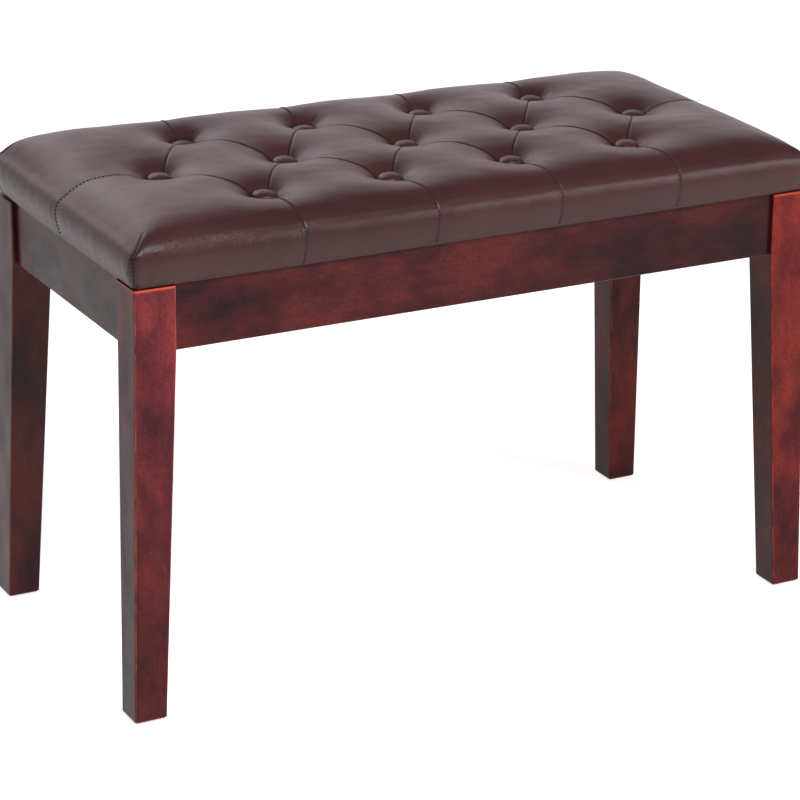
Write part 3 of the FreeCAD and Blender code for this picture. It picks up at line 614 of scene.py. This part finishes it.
def rectangle_edge(columns, rows):
    """Grid places (column, row) once round the edge of the top."""
    last_column = columns - 1
    last_row = rows - 1
    edge = [(column, 0) for column in range(last_column)]
    edge += [(last_column, row) for row in range(last_row)]
    edge += [(column, last_row) for column in range(last_column, 0, -1)]
    edge += [(0, row) for row in range(last_row, 0, -1)]
    return edge


def round_corners(x, y):
    """Moves the grid's four square corners onto quarter discs."""
    over_x = np.maximum(np.abs(x) - TOP_CENTRE_X, 0)
    over_y = np.maximum(np.abs(y) - TOP_CENTRE_Y, 0)
    length = np.maximum(np.hypot(over_x, over_y), 1e-9)
    share = np.where((over_x > 0) & (over_y > 0), np.maximum(over_x, over_y) / length, 1)
    new_x = np.sign(x) * (np.minimum(np.abs(x), TOP_CENTRE_X) + over_x * share)
    new_y = np.sign(y) * (np.minimum(np.abs(y), TOP_CENTRE_Y) + over_y * share)
    return new_x, new_y


def edge_directions(plan):
    """Place on the inner rectangle (-1 to 1) and outward direction in plan."""
    centre = np.array([TOP_CENTRE_X, TOP_CENTRE_Y])
    skeleton = np.clip(plan / centre, -1, 1)
    outward = plan - skeleton * centre
    return skeleton, outward / np.linalg.norm(outward, axis=1, keepdims=True)


def cushion_grid():
    """The cushion's outside: a grid of its top, rings hung round it, and a lining."""
    x_lines = spaced_lines(COLUMN_PITCH / 2, 4, TOP_HALF_X)
    y_lines = spaced_lines(ROW_PITCH, 1, TOP_HALF_Y)
    x, y = round_corners(*np.meshgrid(x_lines, y_lines, indexing="ij"))
    top = np.stack((x, y, crown_height(x, y)), axis=2)
    edge_columns, edge_rows = np.array(rectangle_edge(*x.shape)).T
    skeleton, outward = edge_directions(top[edge_columns, edge_rows, :2])
    return top, skirt_points(skeleton, outward), lining_points(skeleton, outward)


def join_grid(top, skirt, lining=()):
    """Points and faces of a top grid with rings hung from its edge."""
    columns, rows = top.shape[:2]
    edge = rectangle_edge(columns, rows)
    count = len(edge)
    points = [top.reshape(-1, 3)]
    index = np.arange(columns * rows).reshape(columns, rows)
    faces = [np.stack((
        index[:-1, :-1], index[1:, :-1], index[1:, 1:], index[:-1, 1:]
    ), axis=2).reshape(-1, 4)]
    previous = np.array([index[place] for place in edge])
    start = columns * rows
    for ring in list(skirt) + list(lining):
        current = start + np.arange(count)
        faces.append(np.column_stack((
            previous, current, np.roll(current, -1), np.roll(previous, -1)
        )))
        points.append(ring)
        previous = current
        start += count
    return np.concatenate(points), np.concatenate(faces), previous


def point_normals(points, faces):
    """Unit normal at each point, from the faces round it."""
    diagonal_one = points[faces[:, 2]] - points[faces[:, 0]]
    diagonal_two = points[faces[:, 3]] - points[faces[:, 1]]
    face_normals = np.cross(diagonal_one, diagonal_two)
    normals = np.zeros_like(points)
    for corner in range(4):
        np.add.at(normals, faces[:, corner], face_normals)
    return normals / np.maximum(np.linalg.norm(normals, axis=1, keepdims=True), 1e-12)


def relax_edge(points, faces):
    """Smooths the line where the top of the cushion meets its roll."""
    outer, inner = RELAX_NEAR
    near_end = smooth_step(np.abs(points[:, 0]), TOP_HALF_X - outer, TOP_HALF_X - inner)
    near_side = smooth_step(np.abs(points[:, 1]), TOP_HALF_Y - outer, TOP_HALF_Y - inner)
    above = smooth_step(points[:, 2], *(EDGE_HEIGHT - below for below in RELAX_BELOW))
    share = (RELAX_SHARE * np.maximum(near_end, near_side) * above)[:, None]
    starts = faces.ravel()
    ends = np.roll(faces, -1, axis=1).ravel()
    both = np.concatenate((starts, ends))
    others = np.concatenate((ends, starts))
    counts = np.bincount(both, minlength=len(points))
    for _ in range(RELAX_STEPS):
        mean = np.column_stack([
            np.bincount(both, points[others, axis], len(points)) / counts for axis in range(3)
        ])
        points = points + share * (mean - points)
    return points


# ---- cushion: cloth simulation

CLOTH_FRAMES = 18
CLOTH_CAP = 6 * MM
CLOTH_SETTINGS = {
    "quality": 6, "mass": 0.4, "tension_stiffness": 40, "compression_stiffness": 40,
    "shear_stiffness": 20, "bending_stiffness": 4, "use_pressure": True,
    "uniform_pressure_force": 3.5, "vertex_group_mass": "held", "pin_stiffness": 2,
}
HELD_AT_BUTTON = (14 * MM, 24 * MM)
HELD_ON_PLEAT = 0.7
HELD_PLEAT_WIDTH = 2.5 * MM
STAPLED_HEIGHTS = (COVER_LOW.z + 6 * MM, COVER_LOW.z + 18 * MM)
LEAST_HOLD = 0.01


def hold_weights(points):
    """1 where the cover is tied down or stapled, less along the pleats."""
    held = np.zeros(len(points))
    on_top = points[:, 2] > ROLL_BOTTOM
    for centre_x, centre_y in BUTTON_CENTRES:
        away = np.hypot(points[:, 0] - centre_x, points[:, 1] - centre_y)
        held = np.maximum(held, np.where(on_top, 1 - smooth_step(away, *HELD_AT_BUTTON), 0))
    pleat, _ = nearest_pleat(points)
    held = np.maximum(held, HELD_ON_PLEAT * (np.abs(pleat) < HELD_PLEAT_WIDTH) * on_top)
    return np.maximum(held, 1 - smooth_step(points[:, 2], *STAPLED_HEIGHTS))


def simulate_cover(top, skirt):
    """How far each point of the coarse cover moves as the padding swells."""
    points, faces, _ = join_grid(top, skirt)
    mesh = bpy.data.meshes.new("cover_cloth")
    mesh.from_pydata(points.tolist(), [], faces.tolist())
    cloth_object = bpy.data.objects.new("cover_cloth", mesh)
    bpy.context.collection.objects.link(cloth_object)
    group = cloth_object.vertex_groups.new(name="held")
    for number, weight in enumerate(hold_weights(points)):
        if weight > LEAST_HOLD:
            group.add([number], float(weight), "REPLACE")
    modifier = cloth_object.modifiers.new("cloth", "CLOTH")
    settings = modifier.settings
    for key, value in CLOTH_SETTINGS.items():
        setattr(settings, key, value)
    settings.effector_weights.gravity = 0
    modifier.collision_settings.use_collision = False
    modifier.point_cache.frame_start = 1
    modifier.point_cache.frame_end = CLOTH_FRAMES
    for number in range(1, CLOTH_FRAMES + 1):
        bpy.context.scene.frame_set(number)
    graph = bpy.context.evaluated_depsgraph_get()
    settled = cloth_object.evaluated_get(graph).to_mesh()
    moved = np.empty(len(points) * 3)
    settled.vertices.foreach_get("co", moved)
    bpy.data.objects.remove(cloth_object)
    bpy.context.scene.frame_set(1)
    move = moved.reshape(-1, 3) - points
    length = np.maximum(np.linalg.norm(move, axis=1, keepdims=True), 1e-9)
    move *= np.minimum(1, CLOTH_CAP / length)
    cut = top.shape[0] * top.shape[1]
    return move[:cut].reshape(top.shape), move[cut:].reshape(skirt.shape)


def finer(values, axis, periodic=False):
    """Values between coarse grid lines, on a smooth curve through them."""
    values = np.moveaxis(values, axis, 0)
    if periodic:
        values = np.concatenate((values[-1:], values, values[:2]))
    else:
        first = 2 * values[:1] - values[1:2]
        last = 2 * values[-1:] - values[-2:-1]
        values = np.concatenate((first, values, last))
    cells = len(values) - 3
    shares = np.arange(FINE) / FINE
    shape = (1, FINE) + (1,) * (values.ndim - 1)
    share = shares.reshape(shape)
    before, start, end, after = [
        values[offset:offset + cells, None] for offset in range(4)
    ]
    curve = start + 0.5 * share * (
        end - before
        + share * (2 * before - 5 * start + 4 * end - after
                   + share * (3 * (start - end) + after - before))
    )
    curve = curve.reshape((cells * FINE,) + values.shape[1:])
    if not periodic:
        curve = np.concatenate((curve, values[-2:-1]))
    return np.moveaxis(curve, 0, axis)


def swell(top, skirt):
    """The fine grid moved by the simulated swelling of every fourth line of it."""
    top_move, skirt_move = simulate_cover(top[::FINE, ::FINE], skirt[FINE - 1::FINE, ::FINE])
    edge_move = np.array([top_move[place] for place in rectangle_edge(*top_move.shape[:2])])
    side_move = np.concatenate((edge_move[None], skirt_move))
    fine_side = finer(finer(side_move, 1, periodic=True), 0)
    return top + finer(finer(top_move, 0), 1), skirt + fine_side[1:]


# ---- cushion: seams and pleats

FRONT_SEAM_DRIFT = (4 * MM, 10 * MM, 11 * MM, 12 * MM)
BACK_SEAM_DRIFT = 2 * MM
END_SEAM_DRIFT = 4 * MM

UNEVENNESS = ((0.20 * MM, 85 * MM), (0.05 * MM, 24 * MM))
HEM_FADE = (COVER_LOW.z + 1 * MM, COVER_LOW.z + 5 * MM)
UPRIGHT = np.array([1, 1, 0.15])
SIDE_FOLD_DEPTH, SIDE_FOLD_WAVELENGTH = 0.05 * MM, 14 * MM

PLEAT_WANDER = 0.9 * MM
PLEAT_VALLEY, PLEAT_VALLEY_WIDTH = 0.6 * MM, 9 * MM
PLEAT_VALLEY_AT_BUTTON, PLEAT_FADE = 2.2 * MM, 20 * MM
PLEAT_GROOVE, PLEAT_LINE_WIDTH = 0.9 * MM, 0.9 * MM
PLEAT_LAP, PLEAT_LAP_WIDTH = 0.6 * MM, 3 * MM

SEAM_VALLEY, SEAM_VALLEY_WIDTH = 0.9 * MM, 8 * MM
SEAM_GROOVE, SEAM_LINE_WIDTH = 0.15 * MM, 0.8 * MM
SEAM_LAP, SEAM_LAP_WIDTH, SEAM_LAP_PLACE = 0.2 * MM, 1.4 * MM, 2.6 * MM

DART_REACH = (16 * MM, 34 * MM)
DART_GROOVE, DART_GROOVE_WIDTH, DART_LINE_WIDTH = 1.3 * MM, 1.1 * MM, 0.9 * MM
DART_LAP, DART_LAP_WIDTH = 0.9 * MM, 3.5 * MM
GATHER_DEPTH, GATHER_SPACING, GATHER_WIDTH = 1.1 * MM, 1.9 * MM, 10 * MM
GATHER_HEIGHTS = (COVER_LOW.z + 6 * MM, COVER_LOW.z + 26 * MM)

FOLD_DEPTH, FOLD_REACH = 0.12 * MM, 8 * MM
FOLD_START = (9 * MM, 14 * MM)
BUTTON_GAP, BUTTON_RING_WIDTH = 0.8 * MM, 1.4 * MM
BUTTON_RING_SHADE = 0.8


def diagonal_seams():
    """Pairs of buttons in neighbouring rows that a pleat runs between."""
    pairs = []
    for middle in MIDDLE_ROW:
        for outer in OUTER_ROWS:
            if abs(abs(middle[0] - outer[0]) - COLUMN_PITCH / 2) < MM:
                pairs.append((middle, outer))
    return pairs


def nearest_pleat(points):
    """Signed distance to the nearest pleat and distance along to its button."""
    nearest = np.full(len(points), 1.0)
    along = np.full(len(points), 1.0)
    for start, end in diagonal_seams():
        start = np.array(start)
        run = np.array(end) - start
        length = np.linalg.norm(run)
        run = run / length
        offset = points[:, :2] - start
        travel = offset @ run
        across = offset @ np.array([-run[1], run[0]]) * np.sign(run[0])
        wander = PLEAT_WANDER * np.sin(travel / length * math.pi * 2 + start[0] * 40)
        across = across + wander * np.sin(np.clip(travel / length, 0, 1) * math.pi)
        inside = (travel > 0) & (travel < length)
        closer = inside & (np.abs(across) < np.abs(nearest))
        nearest = np.where(closer, across, nearest)
        along = np.where(closer, np.minimum(travel, length - travel), along)
    return nearest, along


def side_seam_place(number, y):
    """x of a seam that runs from an outer button over the front or back edge."""
    reach = smooth_step(np.abs(y), ROW_PITCH + 10 * MM, HALF_Y)
    drift = np.where(np.asarray(y) < 0, FRONT_SEAM_DRIFT[number], BACK_SEAM_DRIFT)
    wander = 0.4 * MM * np.sin(np.asarray(y) / (23 * MM) + number)
    return EDGE_SEAM_COLUMNS[number] + reach * drift + wander


def end_seam_place(x):
    """y of a seam that runs from an end button over the end of the cushion."""
    reach = smooth_step(np.abs(x), 2 * COLUMN_PITCH + 10 * MM, HALF_X)
    return reach * END_SEAM_DRIFT + 0.5 * MM * np.sin(np.asarray(x) / (21 * MM))


def nearest_edge_seam(points):
    """Signed distance to a stitched seam that runs over the cushion's edge."""
    x, y = points[:, 0], points[:, 1]
    nearest = np.full(len(points), 1.0)
    for number in range(len(EDGE_SEAM_COLUMNS)):
        across = x - side_seam_place(number, y)
        closer = (np.abs(y) > ROW_PITCH) & (np.abs(across) < np.abs(nearest))
        nearest = np.where(closer, across, nearest)
    across = y - end_seam_place(x)
    closer = (np.abs(x) > 2 * COLUMN_PITCH) & (np.abs(across) < np.abs(nearest))
    return np.where(closer, across, nearest)


def corner_distances(points):
    """Signed distance to the corner seam's plane and distance from the corner."""
    from_end = HALF_X - np.abs(points[:, 0])
    from_side = HALF_Y - np.abs(points[:, 1])
    return (from_end - from_side) / math.sqrt(2), np.hypot(from_end, from_side)


def ridge(across, width):
    """1 on a line and 0 far from it, with a round top."""
    return np.exp(-(across / width) ** 2)


def slope(away, width):
    """1 at a line and fading off evenly on both sides of it."""
    return np.exp(-np.abs(away) / width)


def up_the_side(height):
    """0 at the cover's lower edge, 1 where its top begins."""
    return np.clip((height - COVER_LOW.z) / (EDGE_HEIGHT - COVER_LOW.z), 0, 1)


def pleat_shape(points):
    """Outward move of the pleats between the buttons, and their dark line."""
    pleat, along = nearest_pleat(points)
    depth = PLEAT_VALLEY + PLEAT_VALLEY_AT_BUTTON * slope(along, PLEAT_FADE)
    # This line along the fold is darkened in the leather: painted shade.
    line = ridge(pleat, PLEAT_LINE_WIDTH)
    lap = PLEAT_LAP * (pleat > 0) * slope(pleat, PLEAT_LAP_WIDTH)
    return lap - depth * slope(pleat, PLEAT_VALLEY_WIDTH) - PLEAT_GROOVE * line, line


def edge_seam_shape(points, above_hem):
    """Outward move of the stitched seams that run over the cushion's edges."""
    seam = nearest_edge_seam(points)
    lap = SEAM_LAP * ridge(np.abs(seam) - SEAM_LAP_PLACE, SEAM_LAP_WIDTH)
    groove = SEAM_GROOVE * ridge(seam, SEAM_LINE_WIDTH) * above_hem
    return (lap - SEAM_VALLEY * slope(seam, SEAM_VALLEY_WIDTH) - groove) * above_hem


def corner_shape(points, above_hem):
    """Outward move of the corner folds and their gathers, and their dark line."""
    dart, from_corner = corner_distances(points)
    share = (1 - smooth_step(from_corner, *DART_REACH)) * above_hem
    lap = DART_LAP * (dart > 0) * slope(dart, DART_LAP_WIDTH)
    move = lap - DART_GROOVE * ridge(dart, DART_GROOVE_WIDTH)
    low = 1 - smooth_step(points[:, 2], *GATHER_HEIGHTS)
    move += GATHER_DEPTH * np.sin(dart / GATHER_SPACING) * slope(dart, GATHER_WIDTH) * low
    # The line returned is darkened in the leather: painted shade.
    return share * move, share * ridge(dart, DART_LINE_WIDTH)


def button_shape(points):
    """Outward move of the small folds round the buttons, and their dark rings."""
    move = np.zeros(len(points))
    shade_ring = np.zeros(len(points))
    for number, (centre_x, centre_y) in enumerate(BUTTON_CENTRES):
        x, y = points[:, 0] - centre_x, points[:, 1] - centre_y
        away = np.hypot(x, y)
        turn = np.arctan2(y, x)
        folds = np.sin(9 * turn + number * 1.7) + 0.6 * np.sin(14 * turn + number * 2.9)
        outside = np.maximum(away - FOLD_START[1], 0)
        reach = smooth_step(away, *FOLD_START) * slope(outside, FOLD_REACH)
        move += FOLD_DEPTH * folds * reach
        # Ring round the button, darkened in the leather: painted shade.
        ring = ridge(away - BUTTON_RADIUS - BUTTON_GAP, BUTTON_RING_WIDTH)
        shade_ring = np.maximum(shade_ring, BUTTON_RING_SHADE * ring)
    return move, shade_ring


def shape_seams(points, normals):
    """Draws pleats, stitched seams, corner folds and tuft folds into the cover.

    Returns the new points and how deep in a fold each one is, from 0 to 1; the
    leather darkens these places as painted shade.
    """
    height = points[:, 2]
    above_hem = smooth_step(height, *HEM_FADE)
    on_top = smooth_step(height, ROLL_BOTTOM - 2 * MM, EDGE_HEIGHT)
    side_share = (1 - on_top) * above_hem
    pleat_move, pleat_line = pleat_shape(points)
    corner_move, corner_line = corner_shape(points, above_hem)
    button_move, button_ring = button_shape(points)

    move = sum(
        depth * soft_noise(points, wavelength, SEED + number)
        for number, (depth, wavelength) in enumerate(UNEVENNESS)
    )
    move += pleat_move + edge_seam_shape(points, above_hem) + corner_move
    move += SIDE_BULGE * side_share * np.sin(math.pi * up_the_side(height))
    upright_folds = soft_noise(points * UPRIGHT, SIDE_FOLD_WAVELENGTH, SEED + 2)
    move += SIDE_FOLD_DEPTH * side_share * upright_folds
    move += button_move * on_top

    shaped = points + normals * move[:, None]
    _, from_corner = corner_distances(points)
    drop = CORNER_DROP * (1 - fullness_at_back(points[:, 0], points[:, 1]))
    shaped[:, 2] -= drop * slope(from_corner, CORNER_DROP_REACH) * up_the_side(height)
    return shaped, np.maximum(np.maximum(pleat_line, corner_line), button_ring * on_top)


# ---- cushion: assembly

def mesh_object(name, points, faces, material):
    mesh = bpy.data.meshes.new(name)
    mesh.from_pydata(points.tolist(), [], faces)
    mesh.validate()
    mesh.polygons.foreach_set("use_smooth", [True] * len(mesh.polygons))
    mesh.materials.append(material)
    piece = bpy.data.objects.new(name, mesh)
    bpy.context.collection.objects.link(piece)
    return piece


def make_cushion(material):
    """Leather cover over its foam, closed round the seat board."""
    top, skirt, lining = cushion_grid()
    top, skirt = swell(top, skirt)
    points, faces, last_ring = join_grid(top, skirt, lining)
    outside = (top.size + skirt.size) // 3
    relaxed = relax_edge(points, faces)
    shaped, crease_shade = shape_seams(relaxed, point_normals(relaxed, faces))
    shaped[outside:] = points[outside:]
    hem = points[:, 2] < COVER_LOW.z + 0.5 * MM
    shaped[hem] = points[hem]
    closing = [last_ring[::-1].tolist()]
    cushion = mesh_object("cushion", shaped, faces.tolist() + closing, material)
    # The crease attribute carries the painted shade of pleat lines, corner folds and button
    # rings.
    attribute = cushion.data.attributes.new("crease_shade", "FLOAT", "POINT")
    attribute.data.foreach_set("value", crease_shade.astype(np.float32))
    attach(cushion, "seat")
    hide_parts("leather_cover", "foam_pad")
    return cushion


# ---- buttons

BUTTON_PROFILE = [
    (0.0, 0.0), (2.0, -0.06), (4.0, -0.25), (6.0, -0.6), (8.0, -1.15), (9.5, -1.75),
    (10.8, -2.5), (11.7, -3.3), (12.3, -4.3), (12.5, -5.2), (12.2, -6.1), (11.4, -7.0),
    (9.5, -7.4),
]
BUTTON_SEGMENTS = 72
BUTTON_TILT = 0.045
BUTTON_LIFT = 4 * MM
BUTTON_RIM_DROP = -5.2
BUTTON_PLEATS_FROM = (9.0, 12.5)
BUTTON_PLEAT_DEPTH = 0.22


def button_points(number, centre_x, centre_y):
    """One covered button: a dome with small pleats gathered under its rim."""
    turns = np.arange(BUTTON_SEGMENTS) * 2 * math.pi / BUTTON_SEGMENTS
    random = np.random.default_rng(SEED + number)
    tilt_x, tilt_y = random.uniform(-BUTTON_TILT, BUTTON_TILT, size=2)
    height = BUTTON_TOP + BUTTON_LIFT
    pleats = 0.5 * np.sin(11 * turns + number) + 0.5 * np.sin(17 * turns + 2 * number)
    rings = []
    for radius, drop in BUTTON_PROFILE[1:]:
        share = smooth_step(radius, *BUTTON_PLEATS_FROM) if drop > BUTTON_RIM_DROP else 1.0
        rim = (radius + BUTTON_PLEAT_DEPTH * pleats * share) * MM
        x = rim * np.cos(turns)
        y = rim * np.sin(turns)
        z = drop * MM + tilt_x * x + tilt_y * y
        rings.append(np.column_stack((centre_x + x, centre_y + y, height + z)))
    tip = np.array([[centre_x, centre_y, height]])
    base = np.array([[centre_x, centre_y, height + BUTTON_PROFILE[-1][1] * MM]])
    return np.concatenate([tip] + rings + [base])


def tube_faces(start, rings, sides):
    """Four-sided faces between rings of points, the first point being start."""
    faces = []
    for ring in range(rings - 1):
        for side in range(sides):
            first = start + ring * sides + side
            second = start + ring * sides + (side + 1) % sides
            faces.append((first, first + sides, second + sides, second))
    return faces


def button_faces(start):
    """Faces of one button: a fan at its tip, a tube, and a fan at its base."""
    rings = len(BUTTON_PROFILE) - 1
    last = start + 1 + (rings - 1) * BUTTON_SEGMENTS
    base = last + BUTTON_SEGMENTS
    faces = tube_faces(start + 1, rings, BUTTON_SEGMENTS)
    for segment in range(BUTTON_SEGMENTS):
        following = (segment + 1) % BUTTON_SEGMENTS
        faces.append((start, start + 1 + segment, start + 1 + following))
        faces.append((last + segment, base, last + following))
    return faces


def make_buttons(material):
    groups = [button_points(number, *centre) for number, centre in enumerate(BUTTON_CENTRES)]
    faces = []
    for number, group in enumerate(groups):
        faces += button_faces(number * len(group))
    buttons = mesh_object("covered_buttons", np.concatenate(groups), faces, material)
    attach(buttons, "seat")
    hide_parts("tufting_buttons")


# ---- stitching

STITCH_PITCH = 4.0 * MM
STITCH_LENGTH = 2.1 * MM
STITCH_RADIUS = 0.95 * MM
STITCH_LIFT = 0.3 * MM
FIRST_STITCH = 15 * MM
RAY_HEIGHT = 50 * MM
ROLL_RAY_LENGTH = 60 * MM
SIDE_RAY_LENGTH = 30 * MM
CORNER_RAY_LENGTH = 20 * MM
SEAM_RAY_REACH = 90 * MM
STITCH_SIDES = 8
STITCH_SHAPE = [(-0.5, 0.35), (-0.38, 0.8), (-0.15, 1.0), (0.15, 1.0), (0.38, 0.8), (0.5, 0.35)]


def seam_probes(half, radius, start):
    """Places out from the middle and directions of rays over one edge.

    Each probe is the seam's reach, the ray's start (out and up) and its direction.
    """
    roll_bottom = EDGE_HEIGHT - radius * math.sin(ROLL_START)
    flat = half - radius
    probes = []
    for reach in np.arange(start, flat, MM):
        probes.append((reach, reach, EDGE_HEIGHT + RAY_HEIGHT, 0.0, -1.0))
    for angle in np.linspace(math.pi / 2, 0, 16):
        out, up = math.cos(angle), math.sin(angle)
        probes.append((
            flat + radius * out, flat + ROLL_RAY_LENGTH * out,
            roll_bottom + ROLL_RAY_LENGTH * up, -out, -up,
        ))
    for height in np.arange(roll_bottom, COVER_LOW.z - MM, -MM):
        probes.append((half, half + SIDE_RAY_LENGTH, height, -1.0, 0.0))
    return probes


def edge_seam_rays(side, number=None):
    """Rays onto one seam from its button over the edge to the hem.

    A number picks a seam over the front or back; none picks the one over an end.
    """
    over_end = number is None
    half, radius, start = (HALF_Y, SIDE_ROLL_RADIUS, ROW_PITCH)
    if over_end:
        half, radius, start = (HALF_X, END_ROLL_RADIUS, 2 * COLUMN_PITCH)
    rays = []
    for reach, out, height, inward, upward in seam_probes(half, radius, start + FIRST_STITCH):
        along = side * reach
        across = end_seam_place(along) if over_end else side_seam_place(number, along)
        ray = (Vector((across, side * out, height)), Vector((0, side * inward, upward)))
        rays.append([vector.yxz for vector in ray] if over_end else ray)
    return rays


def corner_rays(side_x, side_y):
    """Rays for the corner seam, down the corner's own vertical line."""
    outward = Vector((side_x, side_y, 0)).normalized()
    corner = Vector((side_x * HALF_X, side_y * HALF_Y, 0)) + outward * CORNER_RAY_LENGTH
    heights = np.arange(ROLL_BOTTOM + 3 * MM, COVER_LOW.z + 6 * MM, -MM)
    return [(corner + Vector((0, 0, height)), -outward) for height in heights]


def stitches_along(rays, surface):
    """Places, directions and normals of stitches on the surface the rays hit."""
    hits = []
    for start_point, direction in rays:
        place, normal, _, _ = surface.ray_cast(start_point, direction, SEAM_RAY_REACH)
        if place is not None:
            hits.append((place, normal))
    result = []
    travelled = 0.0
    wanted = STITCH_PITCH / 2
    for (start, normal), (end, _) in zip(hits, hits[1:]):
        step = (end - start).length
        while step > 0 and travelled + step >= wanted:
            share = (wanted - travelled) / step
            result.append((start.lerp(end, share), (end - start).normalized(), normal))
            wanted += STITCH_PITCH
        travelled += step
    return result


def stitch_mesh(place, direction, normal, start):
    """One short rounded stitch lying on the leather."""
    across = direction.cross(normal).normalized()
    lifted = across.cross(direction).normalized()
    points = []
    for run, size in STITCH_SHAPE:
        centre = place + direction * run * STITCH_LENGTH + lifted * STITCH_LIFT * size
        for side in range(STITCH_SIDES):
            turn = side * 2 * math.pi / STITCH_SIDES
            reach = across * math.cos(turn) + lifted * math.sin(turn)
            points.append(centre + reach * STITCH_RADIUS * size)
    faces = tube_faces(start, len(STITCH_SHAPE), STITCH_SIDES)
    last = start + (len(STITCH_SHAPE) - 1) * STITCH_SIDES
    faces.append(tuple(range(start, start + STITCH_SIDES)))
    faces.append(tuple(range(last + STITCH_SIDES - 1, last - 1, -1)))
    return points, faces


def make_stitches(cushion, material):
    """Thread along the seams that run over the cushion's edges."""
    surface = BVHTree.FromObject(cushion, bpy.context.evaluated_depsgraph_get())
    runs = []
    for side in (-1, 1):
        runs += [edge_seam_rays(side, number) for number in range(len(EDGE_SEAM_COLUMNS))]
        runs.append(edge_seam_rays(side))
        runs += [corner_rays(side, other) for other in (-1, 1)]
    points = []
    faces = []
    for rays in runs:
        for place, direction, normal in stitches_along(rays, surface):
            new_points, new_faces = stitch_mesh(place, direction, normal, len(points))
            points += new_points
            faces += new_faces
    stitches = mesh_object("seam_stitches", np.array(points), faces, material)
    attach(stitches, "seat")


# ---- finishes on CAD nodes

def finish_node(name, material):
    """Gives every material slot of a CAD node the same new finish."""
    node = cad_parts[name]
    if not node.data.materials:
        node.data.materials.append(material)
    for number in range(len(node.data.materials)):
        node.data.materials[number] = material


# Height above which the front legs' top edges are light orange, partly wear and partly a
# painted highlight.
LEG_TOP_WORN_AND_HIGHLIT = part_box("front_left_leg")[1].z - 1.8 * MM
# Tones per leg are partly painted shade and light: back legs darker as if in shade, front legs
# lighter as if lit. The left tone is painted shade on faces that look along -X, and the front
# left leg's fade is painted shade, darker towards its foot.
LEG_WOODS = {
    "front_left": dict(
        tone=(1.75, 1.75, 2.3), fade=(2, 0.33, 0.10, 0.38), worn_and_highlit_above=LEG_TOP_WORN_AND_HIGHLIT,
        left_shade_tone=0.45, gloss=0.36,
    ),
    "front_right": dict(
        tone=(1.35, 1.10, 1.10), worn_and_highlit_above=LEG_TOP_WORN_AND_HIGHLIT, left_shade_tone=0.30, gloss=0.28,
    ),
    "back_left": dict(tone=(0.50, 0.55, 0.60)),
    "back_right": dict(tone=(0.85, 0.70, 0.70), left_shade_tone=0.55, gloss=0.30),
}


def finish_frame_nodes():
    """Finishes every CAD node that stays visible."""
    block_wood = plain_wood_material("block_wood", 2, BLOCK_LIGHT, BLOCK_DARK)
    for corner, settings in LEG_WOODS.items():
        finish_node(corner + "_leg", wood_material("lacquered_wood_" + corner, 2, **settings))
        finish_node(corner + "_corner_block", block_wood)

    # The aprons' tones are partly painted shade, darker than the legs as if in the seat's
    # shadow; the lengthwise aprons also grow darker towards +X.
    lengthwise = wood_material(
        "lacquered_wood_lengthwise", 0, (0.72, 0.74, 0.92), (0, -0.05, 0.34, 0.5), gloss=0.38,
    )
    crosswise = wood_material("lacquered_wood_crosswise", 1, (0.60, 0.60, 0.60))
    dowel_wood = plain_wood_material("dowel_wood", 0, DOWEL_LIGHT, DOWEL_DARK)
    floor_low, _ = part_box("storage_floor")
    floor_ply = plywood_material("floor_plywood", floor_low.z, 1.25 * MM)
    board_ply = plywood_material("board_plywood", BOARD_LOW.z, 1.5 * MM)
    steel = metal_material("zinc_plated_steel", (0.56, 0.57, 0.58), 0.34)
    dark_steel = metal_material("blued_steel", (0.30, 0.30, 0.31), 0.38)
    brass = metal_material("aged_brass", (0.62, 0.44, 0.17), 0.32)
    felt = fibre_material("wool_felt", FELT_COLOUR, 900.0, 0.5)
    lining = fibre_material("dust_lining", LINING_COLOUR, 500.0, 0.35)
    nylon = noise_material("nylon", NYLON_TONES, (80.0, 1200.0), (0.1, 0.0003), 0.48)
    finishes = (
        (lengthwise, "front_apron", "back_apron"),
        (crosswise, "left_apron", "right_apron"),
        (floor_ply, "storage_floor"),
        (board_ply, "seat_board"),
        (dowel_wood, "apron_dowels"),
        (steel, "corner_block_screws", "hanger_bolts", "hanger_washers", "hanger_nuts",
         "stay_elbow_rivet", "stay_base_screws", "stay_lid_screws", "upholstery_staples"),
        (dark_steel, "stay_base_bracket", "stay_lid_bracket", "stay_lower_arm",
         "stay_upper_arm"),
        (brass, "hinge_frame_leaves", "hinge_lid_leaves", "hinge_pins",
         "hinge_frame_screws", "hinge_lid_screws"),
        (nylon, "foot_glides", "tufting_toggles"),
        (twine_material("waxed_twine"), "tufting_twine"),
        (lining, "dust_cover"),
        (felt, "lid_felt_pads"),
    )
    for material, *names in finishes:
        for name in names:
            finish_node(name, material)


# ---- the scene

make_camera()
make_studio()
finish_frame_nodes()
leather = leather_material("brown_leather")
cushion = make_cushion(leather)
make_buttons(leather)
make_stitches(cushion, noise_material(
    "seam_thread", THREAD_TONES, (2600.0, 2600.0), (0.3, 0.0002), 0.6,
))
